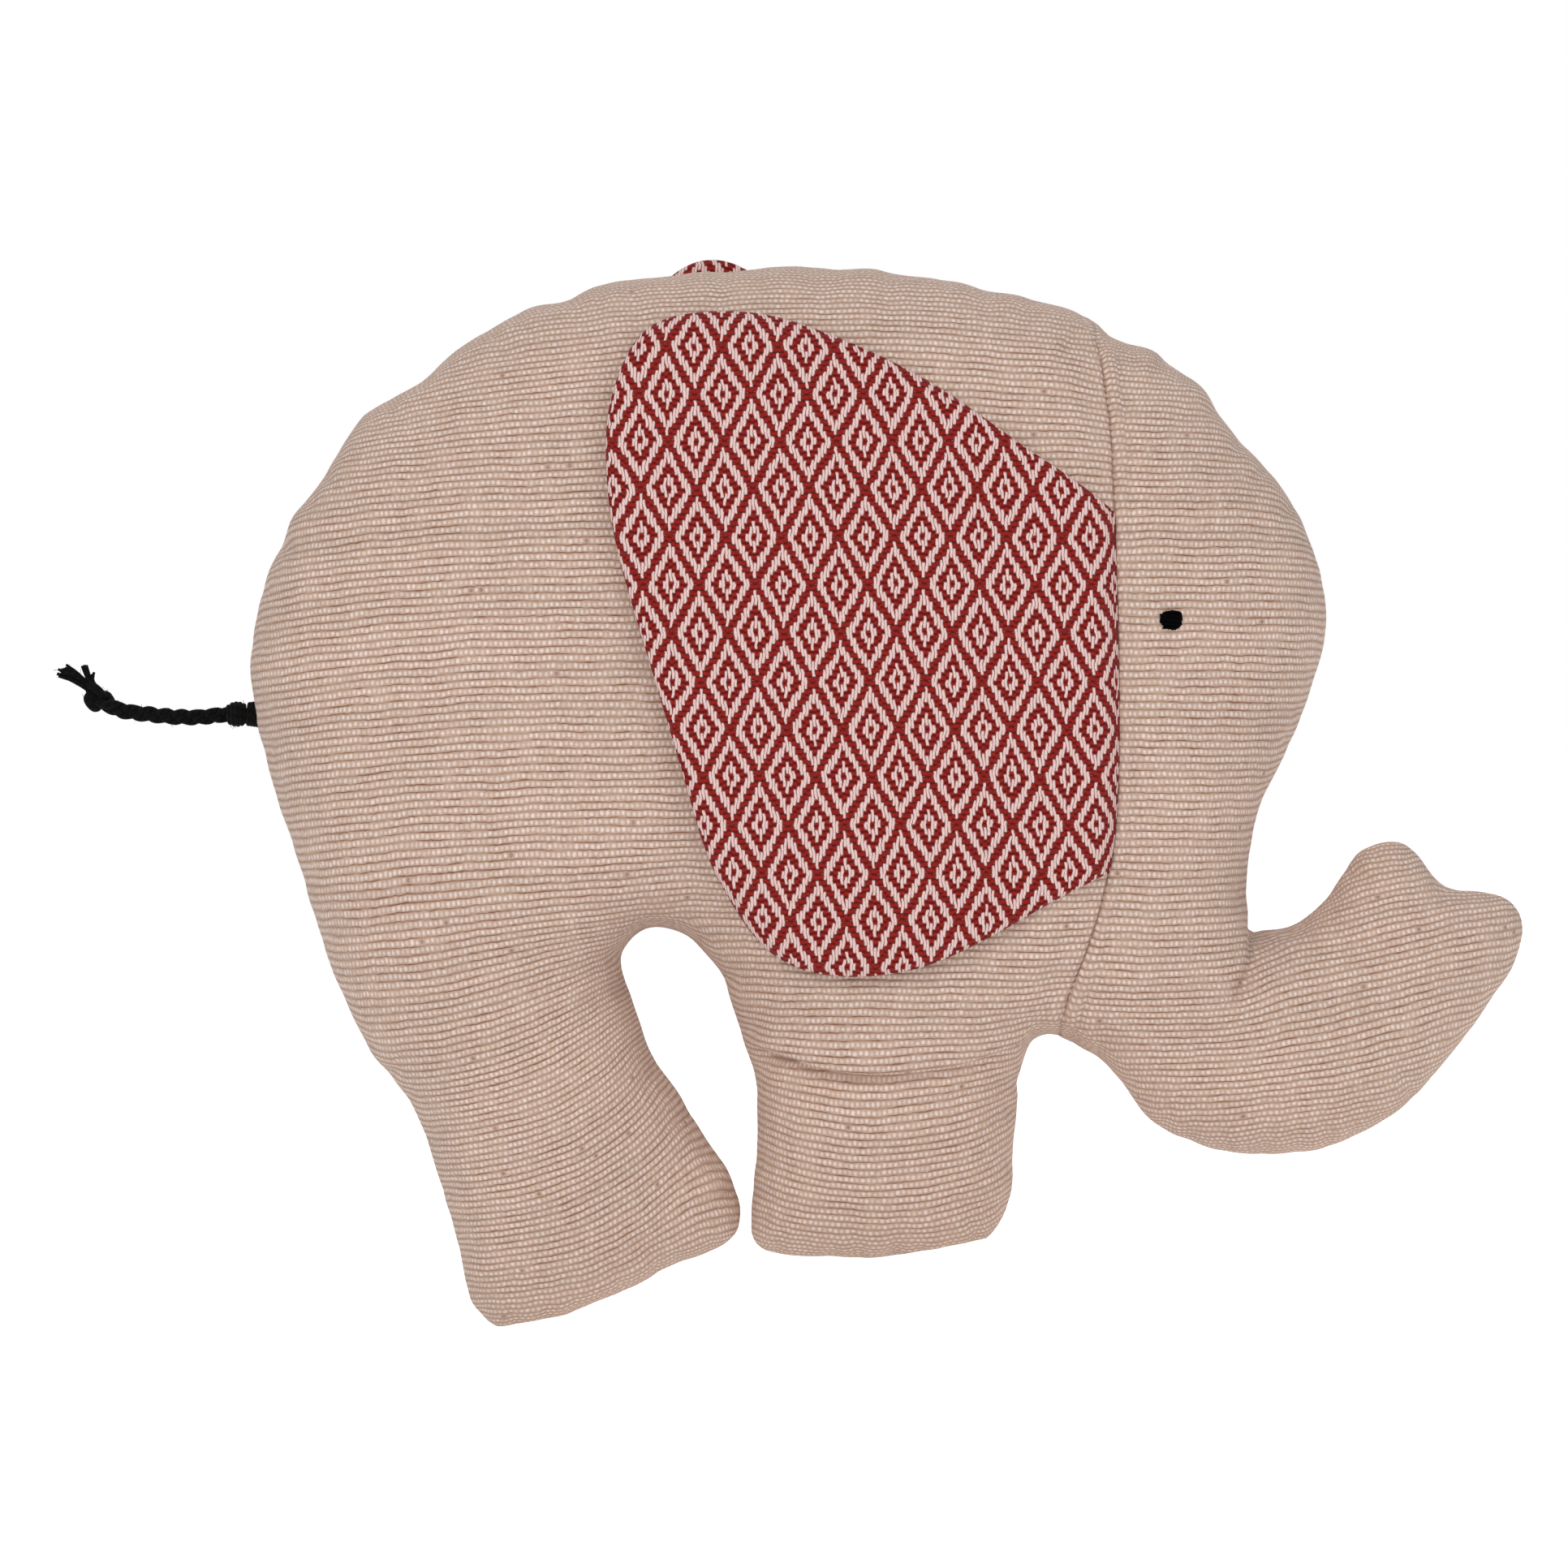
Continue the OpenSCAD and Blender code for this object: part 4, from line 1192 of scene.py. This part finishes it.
# A broad smooth copy of the body's fullness, which the stiff flap rests on.
smooth_depth = np.where(grid_s > 0, fullness(grid_x, grid_z, grid_s), 0.0)
weight = (grid_s > 0).astype(float)
smooth_depth = smooth_depth * weight
for _ in range(60):
    for field in (smooth_depth, weight):
        field[1:-1, 1:-1] = 0.2 * (field[1:-1, 1:-1] + field[:-2, 1:-1] + field[2:, 1:-1] + field[1:-1,
                                                                                                  :-2] + field[1:-1,
                                                                                                               2:])
smooth_depth /= np.maximum(weight, 1e-6)


def ear_bed(x, z):
    """Depth that the flap rests at: on the body near the seam, straighter further off."""
    s_here, _, _ = distance_to(np.stack([x, z], 1), rim, closed=True)
    s_here = np.where(inside_loop(x, z, rim), s_here, 0)
    body = fullness(x, z, s_here)
    broad = look_up(smooth_depth, film_step, x, np.minimum(z, 226))
    return np.maximum(body, broad)


def make_ear(side, raised):
    z_here = ez + raised * soft_step(from_seam, 0, 30)
    if raised:
        z_here = z_here - 0.03 * np.minimum(np.abs(ex + 16.5), 14) ** 2 * soft_step(ez, 196, 224)
    bed = ear_bed(ex, z_here)
    clear = 1.5 + 2.0 * soft_step(from_seam, 8, 80) + 1.6 * soft_step(z_here, 190, 225)
    stand_off = bed + clear + 0.45 * bumpy(ear_flat, 46, 31 if side < 0 else 37) * soft_step(from_seam, 4, 30)
    wave = np.sin(edge_along / 15.0 + (0.6 if side < 0 else 2.0))
    stand_off += 0.5 * wave * np.exp(-edge_s / 14) * soft_step(from_seam, 4, 22)
    # Caught in the neck seam, the flap dives into the groove between the panels.
    stand_off -= 1.3 * bell(from_seam, 6.5) + 2.3 * (1 - soft_step(from_seam, 0,
                                                                   4.5)) + 0.9 * (1 - soft_step(from_seam, 0, 1.2))
    # The turned edge holds four layers, so it is a little thicker than the middle.
    t = np.clip(edge_s / 2.0, 0, 1)
    thick = 1.15 * np.sqrt(1 - (1 - t) ** 2) + 0.28 * bell(edge_s - 2.6, 1.5)
    thick = np.where(from_seam < 1.2, np.maximum(thick, 0.75), thick)
    nip = 0.0
    r = np.random.default_rng(41 if side < 0 else 43)
    here = 2.0
    while here < 400:
        nip = nip + r.uniform(0.05, 0.3) * bell(edge_along - here, 1.5) * np.exp(-edge_s / 3.5)
        here += r.uniform(4, 9)
    thick = thick - nip * soft_step(edge_s, 0, 1.0) * 0.5
    x_here = ex + (0.6 if raised else 0.0) * soft_step(from_seam, 10, 75)
    front = np.stack([x_here, side * (stand_off + thick), z_here], 1)
    behind = np.stack([x_here, side * (stand_off - thick), z_here], 1)
    return front, behind


brocade_group, w, gin, gout = new_group(
    "diamond_brocade",
    [("Lie", "NodeSocketVector", None), ("Thread across", "NodeSocketFloat", 0.76),
     ("Thread along", "NodeSocketFloat", 1.30),
     ("Red", "NodeSocketColor", (0.37, 0.017, 0.012, 1)), ("Red shade", "NodeSocketColor", (0.11, 0.005, 0.004, 1)),
     ("Pink", "NodeSocketColor", (0.98, 0.73, 0.69, 1)), ("Pink shade", "NodeSocketColor", (0.60, 0.31, 0.28, 1))],
    [("Color", "NodeSocketColor"), ("Height", "NodeSocketFloat")],
)
u, v, _ = w.split(gin.outputs["Lie"])
sway = w.noise(w.xyz(w.times(u, 0.05), w.times(v, 0.05)), 1.0, 1.0)
jitter = w.noise(w.xyz(w.times(u, 0.9), w.times(v, 0.7), 3.0), 1.0, 2.0)
along = w.plus(w.math("DIVIDE", v, gin.outputs["Thread along"]), w.times(sway, 1.3))
lean = w.times(w.math("SINE", w.times(along, 2.1)), 0.13)
across = w.plus(w.math("DIVIDE", u, gin.outputs["Thread across"]), w.plus(lean, w.times(w.minus(jitter, 0.5), 0.6)))
thread = w.math("FLOOR", w.plus(across, 0.5))
in_thread = w.minus(across, thread)
pick = w.plus(along, w.times(w.minus(w.chance(w.xyz(thread, 5.0)), 0.5), 0.55))
signed_across = w.minus(w.math("FLOORED_MODULO", w.plus(thread, 8.0), 16.0), 8.0)
across_in = w.math("ABSOLUTE", signed_across)
along_in = w.math("ABSOLUTE", w.minus(w.math("FLOORED_MODULO", w.plus(pick, 8.0), 16.0), 8.0))
whole_out = w.plus(across_in, along_in)
out = w.math("MINIMUM", whole_out, w.minus(16.0, whole_out))
# Each float leans along the side of the diamond that it belongs to.
which_way = w.times(w.math("SIGN", signed_across), w.math("SIGN", w.minus(8.0, whole_out)))
float_middle = w.plus(1.85, w.times(w.math("GREATER_THAN", out, 3.6), 3.85))
in_thread = w.plus(in_thread, w.times(w.times(w.minus(out, float_middle), which_way), 0.2))
first = w.times(w.ramp(out, 0.5, 0.75), w.ramp(out, 2.5, 2.75, 1.0, 0.0))
second = w.times(w.ramp(out, 4.3, 4.55), w.ramp(out, 6.85, 7.1, 1.0, 0.0))
is_pink = w.plus(first, second, clamp=True)
round_thread = w.minus(1.0, w.math("POWER", w.math("ABSOLUTE", w.times(in_thread, 2.0)), 2.2), clamp=True)
twist = w.math("SINE", w.times(w.plus(w.times(in_thread, 1.3), w.times(v, 1.15)), 6.283))
fibre = w.noise(w.xyz(w.times(u, 3.0), w.times(v, 1.2), 8.0), 1.0, 3.0, 0.7)
pink_light = w.times(w.ramp(round_thread, 0.05, 0.75),
                     w.ramp(w.plus(w.times(twist, 0.18), fibre), 0.15, 0.75, 0.55, 1.0))
pink = w.mix(pink_light, gin.outputs["Pink shade"], gin.outputs["Pink"])
# Each red bar is lighter in its middle and darker at its ends: painted shade between the bars.
bar = w.math("ABSOLUTE", w.minus(w.math("FRACT", pick), 0.5))
red_light = w.times(w.ramp(bar, 0.42, 0.2), w.ramp(fibre, 0.25, 0.7, 0.35, 1.0))
red = w.mix(red_light, gin.outputs["Red shade"], gin.outputs["Red"])
pink_cover = w.times(is_pink, w.ramp(w.math("ABSOLUTE", in_thread), 0.34, 0.48, 1.0, 0.1))
w.feed(gout.inputs["Color"], w.mix(pink_cover, red, pink))
w.feed(gout.inputs["Height"], w.plus(w.times(w.times(round_thread, is_pink), 0.85),
                                     w.plus(w.times(fibre, 0.15), w.times(red_light, 0.12))))

brocade, wires, bsdf = new_material("red_pink_brocade", 0.9, sheen=0.12, sheen_rough=0.5, specular=0.15)
node = brocade.node_tree.nodes.new("ShaderNodeGroup")
node.node_tree = brocade_group
lie = brocade.node_tree.nodes.new("ShaderNodeUVMap")
lie.uv_map = "lie"
wires.feed(node.inputs["Lie"], lie.outputs["UV"])
wires.feed(bsdf.inputs["Base Color"], node.outputs["Color"])
raise_surface(wires, bsdf, node.outputs["Height"], 0.0003, 1.0)

for side_name, side, raised in (("right", -1, 0.0), ("left", 1, LEFT_EAR_RAISED)):
    front, behind = make_ear(side, raised)
    lie_uv = ear_flat - MOTIF_AT
    lie_uv = np.stack([lie_uv[:, 0] + 0.022 * lie_uv[:, 1], lie_uv[:, 1]], 1)
    for j in range(len(EAR_RINGS) - 2, -1, -1):
        here, there = slice(j * count, (j + 1) * count), slice((j + 1) * count, (j + 2) * count)
        gap = np.linalg.norm(front[here] - front[there], axis=1)
        lie_uv[here] = lie_uv[there] + ear_out * np.minimum(gap, 1.2)[:, None]
    hinge, over = (tuple(stand([x, side * EAR_DEPTH, EAR_HEIGHT])) for x in (EAR_HINGE, EAR_HINGE - EAR_BEND))
    for part, verts in (("face", front), ("lining", behind)):
        outward = (side < 0) == (part == "face")
        faces = ear_faces if outward else [f[::-1] for f in ear_faces]
        n = point_normals(verts, faces)
        away = side if part == "face" else -side
        if n[:, 1].mean() * away < 0:
            faces = [f[::-1] for f in faces]
        piece = cut_piece(f"ear_{part}_{side_name}", stand(verts), faces, [True] * len(faces), lie_uv, brocade,
                          EAR_CLOTH)
        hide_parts(f"ear_{side_name}_{part}")
        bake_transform(piece)

# ---------------------------------------------------------------------------
# The eyes: a knot of black embroidery cotton on each side of the head, worked as
# a few dozen satin stitches laid side by side over a small padded knot.
EYE_AT = (85.4, 157.0)
EYE_TILT = math.radians(15)
eye_cotton = yarn_material("black_embroidery_cotton", (0.0008, 0.0008, 0.001), (0.004, 0.004, 0.005), 0.8)
eye_cotton.node_tree.nodes["Principled BSDF"].inputs["Sheen Weight"].default_value = 0.0
eye_cotton.node_tree.nodes["Principled BSDF"].inputs["Specular IOR Level"].default_value = 0.04
for side_name, side, seed in (("right", -1, 51), ("left", 1, 57)):
    eye_x, eye_z = np.array([EYE_AT[0]]), np.array([EYE_AT[1]])
    eye_s, _, _ = distance_to(np.array([EYE_AT]), rim, closed=True)
    skin_y = float(fullness(eye_x, eye_z, eye_s)[0])
    stitches = Strands()
    rng = np.random.default_rng(seed)
    for k in range(17):
        f = (k - 8) / 8.0
        # Flat along the top, tapering down to the lower rear corner.
        across = 2.35 * f
        top = 1.85 - 0.55 * f * f + 0.25 * f + rng.uniform(-0.12, 0.12)
        bottom = -(2.1 - 1.0 * f * f - 0.6 * max(-f, 0) ** 2) + rng.uniform(-0.18, 0.18)
        a = np.linspace(0, math.pi, 11)
        down = top + (bottom - top) * (1 - np.cos(a)) / 2
        rise = 1.05 * math.sqrt(max(0.08, 1 - f * f * 0.9)) * np.sin(a) ** 0.7 - 0.35
        lean = -0.05 * down + 0.1 * np.sin(a * 2 + k)
        stitches.add(np.stack([across + lean, -rise, down], 1), 0.24, 6)
    for k in range(5):
        a = np.linspace(0, math.pi, 9)
        z = 1.5 - 0.75 * k + rng.uniform(-0.1, 0.1)
        half = 2.1 * math.sqrt(max(0.15, 1 - (z / 2.6) ** 2))
        stitches.add(np.stack([-half * np.cos(a) + 0.1 * z, -(np.sin(a) ** 0.8 - 0.1),
                               z + 0.25 * np.sin(a + k)], 1), 0.23, 6)
    knot_core = np.linspace(-1.9, 1.9, 9)
    stitches.add(np.stack([knot_core, 0.25 + 0 * knot_core, -0.15 + 0 * knot_core], 1),
                 1.35 * np.sqrt(np.clip(1 - (knot_core / 2.2) ** 2, 0.05, 1)), 12, flat=0.6)
    p = np.array(stitches.verts)
    tilt_cos, tilt_sin = math.cos(EYE_TILT), math.sin(EYE_TILT)
    turned = np.stack([tilt_cos * p[:, 0] - tilt_sin * p[:, 1], tilt_sin * p[:, 0] + tilt_cos * p[:, 1], p[:, 2]], 1)
    placed = np.stack([EYE_AT[0] + turned[:, 0], side * (skin_y - 0.1 - turned[:, 1]), EYE_AT[1] + turned[:, 2]], 1)
    if side > 0:
        stitches.faces = [f[::-1] for f in stitches.faces]
    stitches.verts = list(placed)
    made_eye = stitches.finish(f"eye_knot_{side_name}", eye_cotton)
    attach(made_eye, "body")
    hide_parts(f"eye_{side_name}")

# ---------------------------------------------------------------------------
# The filling: white fibre teased and packed in handfuls, the barrel first, then
# the head, trunk and legs, so each part is its own lump inside the panels.
FILLING_VOXEL, FILLING_INSET, TUFT_HEIGHT = 0.0026, 0.0054, 0.0008
filling, wires, bsdf = new_material("white_fibre_filling", 0.95, sheen=0.4, sheen_rough=0.5, specular=0.1)
place = wires.tree.nodes.new("ShaderNodeTexCoord").outputs["Object"]
strand_noise = wires.noise(place, 420.0, 5.0, 0.75)
clump_noise = wires.noise(place, 60.0, 3.0, 0.6)
wires.feed(bsdf.inputs["Base Color"], wires.mix(wires.ramp(strand_noise, 0.3, 0.7), (0.62, 0.60, 0.55, 1),
                                                (0.92, 0.91, 0.88, 1)))
raise_surface(wires, bsdf, wires.plus(strand_noise, clump_noise), 0.0012, 0.9)

for name in ("stuffing_barrel", "stuffing_head", "stuffing_trunk", "stuffing_front_leg", "stuffing_rear_leg"):
    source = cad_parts[name]
    copy = bpy.data.objects.new(name + "_fibre", source.data.copy())
    copy.matrix_world = source.matrix_world
    scene.collection.objects.link(copy)
    copy.data.transform(copy.matrix_world)
    copy.matrix_world = Matrix.Identity(4)
    copy.data.materials.clear()
    shape = bmesh.new()
    shape.from_mesh(copy.data)
    bmesh.ops.remove_doubles(shape, verts=shape.verts, dist=1e-5)
    shape.to_mesh(copy.data)
    shape.free()
    remesh = copy.modifiers.new("remesh", "REMESH")
    remesh.mode = "VOXEL"
    remesh.voxel_size = FILLING_VOXEL
    bpy.context.view_layer.update()
    plain = bpy.data.meshes.new_from_object(copy.evaluated_get(bpy.context.evaluated_depsgraph_get()))
    bpy.data.objects.remove(copy)
    lump = bpy.data.objects.new(name.replace("stuffing_", "filling_"), plain)
    scene.collection.objects.link(lump)
    co = np.empty(len(plain.vertices) * 3)
    plain.vertices.foreach_get("co", co)
    co = co.reshape(-1, 3)
    no = np.empty_like(co).ravel()
    plain.vertices.foreach_get("normal", no)
    no = no.reshape(-1, 3)
    tufts = bumpy(co * 1000, 17, 61) + 0.6 * bumpy(co * 1000, 6, 62, 2)
    co += no * (TUFT_HEIGHT * tufts - FILLING_INSET)[:, None]
    plain.vertices.foreach_set("co", co.ravel())
    plain.polygons.foreach_set("use_smooth", [True] * len(plain.polygons))
    plain.update()
    plain.materials.clear()
    plain.materials.append(filling)
    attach(lump, "body")
    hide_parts(name)

# ---------------------------------------------------------------------------
# The sewing: cotton thread in small stitches along the rim seam and the neck
# seams, sunk in the groove that the seam makes.
thread_cotton = yarn_material("cream_sewing_thread", (0.28, 0.19, 0.13), (0.62, 0.50, 0.41), 0.5)


def stitch_tree():
    """Geometry Nodes: short stitches laid across a path, one after another."""
    tree = bpy.data.node_groups.new("seam_stitches", "GeometryNodeTree")
    face = tree.interface
    face.new_socket("Geometry", in_out="INPUT", socket_type="NodeSocketGeometry")
    for label, value in (("Stitch spacing", 0.0026), ("Stitch length", 0.0021), ("Thread radius", 0.0002),
                         ("Slant", 0.35)):
        face.new_socket(label, in_out="INPUT", socket_type="NodeSocketFloat").default_value = value
    face.new_socket("Seed", in_out="INPUT", socket_type="NodeSocketInt").default_value = 5
    face.new_socket("Thread", in_out="INPUT", socket_type="NodeSocketMaterial")
    face.new_socket("Geometry", in_out="OUTPUT", socket_type="NodeSocketGeometry")
    add, join = tree.nodes.new, tree.links.new
    start, end = add("NodeGroupInput"), add("NodeGroupOutput")
    curve = add("GeometryNodeMeshToCurve")
    join(start.outputs["Geometry"], curve.inputs["Mesh"])
    even = add("GeometryNodeResampleCurve")
    even.mode = "LENGTH"
    join(curve.outputs["Curve"], even.inputs["Curve"])
    join(start.outputs["Stitch spacing"], even.inputs["Length"])
    one = add("GeometryNodeCurvePrimitiveLine")
    one.mode = "DIRECTION"
    one.inputs["Direction"].default_value = (0, 0, 1)
    join(start.outputs["Stitch length"], one.inputs["Length"])
    parts = add("GeometryNodeResampleCurve")
    parts.inputs["Count"].default_value = 5
    join(one.outputs["Curve"], parts.inputs["Curve"])
    ring = add("GeometryNodeCurvePrimitiveCircle")
    ring.inputs["Resolution"].default_value = 6
    join(start.outputs["Thread radius"], ring.inputs["Radius"])
    tube = add("GeometryNodeCurveToMesh")
    tube.inputs["Fill Caps"].default_value = True
    join(parts.outputs["Curve"], tube.inputs["Curve"])
    join(ring.outputs["Curve"], tube.inputs["Profile Curve"])
    middle = add("GeometryNodeTransform")
    shift = add("ShaderNodeCombineXYZ")
    half = add("ShaderNodeMath")
    half.operation = "MULTIPLY"
    half.inputs[1].default_value = -0.5
    join(start.outputs["Stitch length"], half.inputs[0])
    join(half.outputs[0], shift.inputs["Z"])
    join(tube.outputs["Mesh"], middle.inputs["Geometry"])
    join(shift.outputs[0], middle.inputs["Translation"])
    tangent = add("GeometryNodeInputTangent")
    aim_along = add("FunctionNodeAlignRotationToVector")
    aim_along.axis = "Z"
    join(tangent.outputs[0], aim_along.inputs["Vector"])
    wobble = add("FunctionNodeRandomValue")
    wobble.data_type = "FLOAT_VECTOR"
    wobble.inputs[0].default_value = (-0.16, -0.16, -0.16)
    wobble.inputs[1].default_value = (0.16, 0.16, 0.16)
    join(start.outputs["Seed"], wobble.inputs["Seed"])
    lean = add("ShaderNodeVectorMath")
    lean.operation = "ADD"
    tilt = add("ShaderNodeCombineXYZ")
    join(start.outputs["Slant"], tilt.inputs["X"])
    join(wobble.outputs[0], lean.inputs[0])
    join(tilt.outputs[0], lean.inputs[1])
    turn_by = add("FunctionNodeRotateRotation")
    turn_by.rotation_space = "LOCAL"
    join(aim_along.outputs[0], turn_by.inputs["Rotation"])
    to_turn = add("FunctionNodeEulerToRotation")
    join(lean.outputs[0], to_turn.inputs[0])
    join(to_turn.outputs[0], turn_by.inputs["Rotate By"])
    lay = add("GeometryNodeInstanceOnPoints")
    join(even.outputs["Curve"], lay.inputs["Points"])
    join(middle.outputs["Geometry"], lay.inputs["Instance"])
    join(turn_by.outputs[0], lay.inputs["Rotation"])
    real = add("GeometryNodeRealizeInstances")
    join(lay.outputs["Instances"], real.inputs["Geometry"])
    paint = add("GeometryNodeSetMaterial")
    join(real.outputs["Geometry"], paint.inputs["Geometry"])
    join(start.outputs["Thread"], paint.inputs["Material"])
    join(paint.outputs["Geometry"], end.inputs["Geometry"])
    return tree


stitches_tree = stitch_tree()


def sew(name, path_mm, replaced, spacing, length, seed, closed=False, slant=0.35):
    path = stand(path_mm)
    line = bpy.data.meshes.new(name + "_path")
    edges = [(i, i + 1) for i in range(len(path) - 1)] + ([(len(path) - 1, 0)] if closed else [])
    line.from_pydata([tuple(p) for p in path], edges, [])
    guide = bpy.data.objects.new(name + "_path", line)
    scene.collection.objects.link(guide)
    made_by = guide.modifiers.new("stitches", "NODES")
    made_by.node_group = stitches_tree
    for item in stitches_tree.interface.items_tree:
        if item.item_type == "SOCKET" and item.in_out == "INPUT":
            value = {"Stitch spacing": spacing, "Stitch length": length, "Thread radius": 0.00019, "Slant": slant,
                     "Seed": seed, "Thread": thread_cotton}.get(item.name)
            if value is not None:
                made_by[item.identifier] = value
    bpy.context.view_layer.update()
    plain = bpy.data.meshes.new_from_object(guide.evaluated_get(bpy.context.evaluated_depsgraph_get()))
    bpy.data.objects.remove(guide)
    plain.polygons.foreach_set("use_smooth", [True] * len(plain.polygons))
    co = np.empty(len(plain.vertices) * 3, np.float32)
    plain.vertices.foreach_get("co", co)
    co = co.reshape(-1, 3) * 1000
    notes = plain.attributes.get("strand") or plain.attributes.new("strand", "FLOAT_VECTOR", "POINT")
    notes.data.foreach_set("vector", np.stack([co[:, 0] + co[:, 2], co[:, 1], 0 * co[:, 0]],
                                              1).astype(np.float32).ravel())
    sewn = bpy.data.objects.new(name, plain)
    scene.collection.objects.link(sewn)
    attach(sewn, "body")
    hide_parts(replaced)
    return sewn


flat_line = right_flat[:rim_count] - np.stack([rim_out[:, 0], 0 * rim_out[:, 0], rim_out[:, 1]], 1) * 0.75
first, second = flat_line[lo + 1:hi], np.vstack([flat_line[hi + 1:], flat_line[:lo]])
if first[:, 0].mean() > second[:, 0].mean():
    head_line, body_line = first, second
else:
    head_line, body_line = second, first
sew("rim_seam_body", body_line, "rim_thread_body", 0.0027, 0.0023, 71)
sew("rim_seam_head", head_line, "rim_thread_head", 0.0027, 0.0023, 72)
neck_s, _, _ = distance_to(neck, rim, closed=True)
ok = inside_loop(neck[:, 0], neck[:, 1], rim) & (neck_s > 0.8)
neck_y = fullness(neck[ok, 0], neck[ok, 1], neck_s[ok]) - 3.2
for side_name, side, seed in (("right", -1, 73), ("left", 1, 74)):
    keep_y = neck_y > 6
    sew(f"neck_seam_{side_name}", np.stack([neck[ok, 0][keep_y], side * neck_y[keep_y], neck[ok, 1][keep_y]], 1),
        f"neck_thread_{side_name}", 0.0029, 0.0024, seed)

visual_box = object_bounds()


def plain_numbers(value):
    if isinstance(value, dict):
        return {k: plain_numbers(v) for k, v in value.items()}
    if hasattr(value, "__len__"):
        return [plain_numbers(v) for v in value]
    return float(value)


{"cad": plain_numbers(cad_box), "visual": plain_numbers(visual_box)}
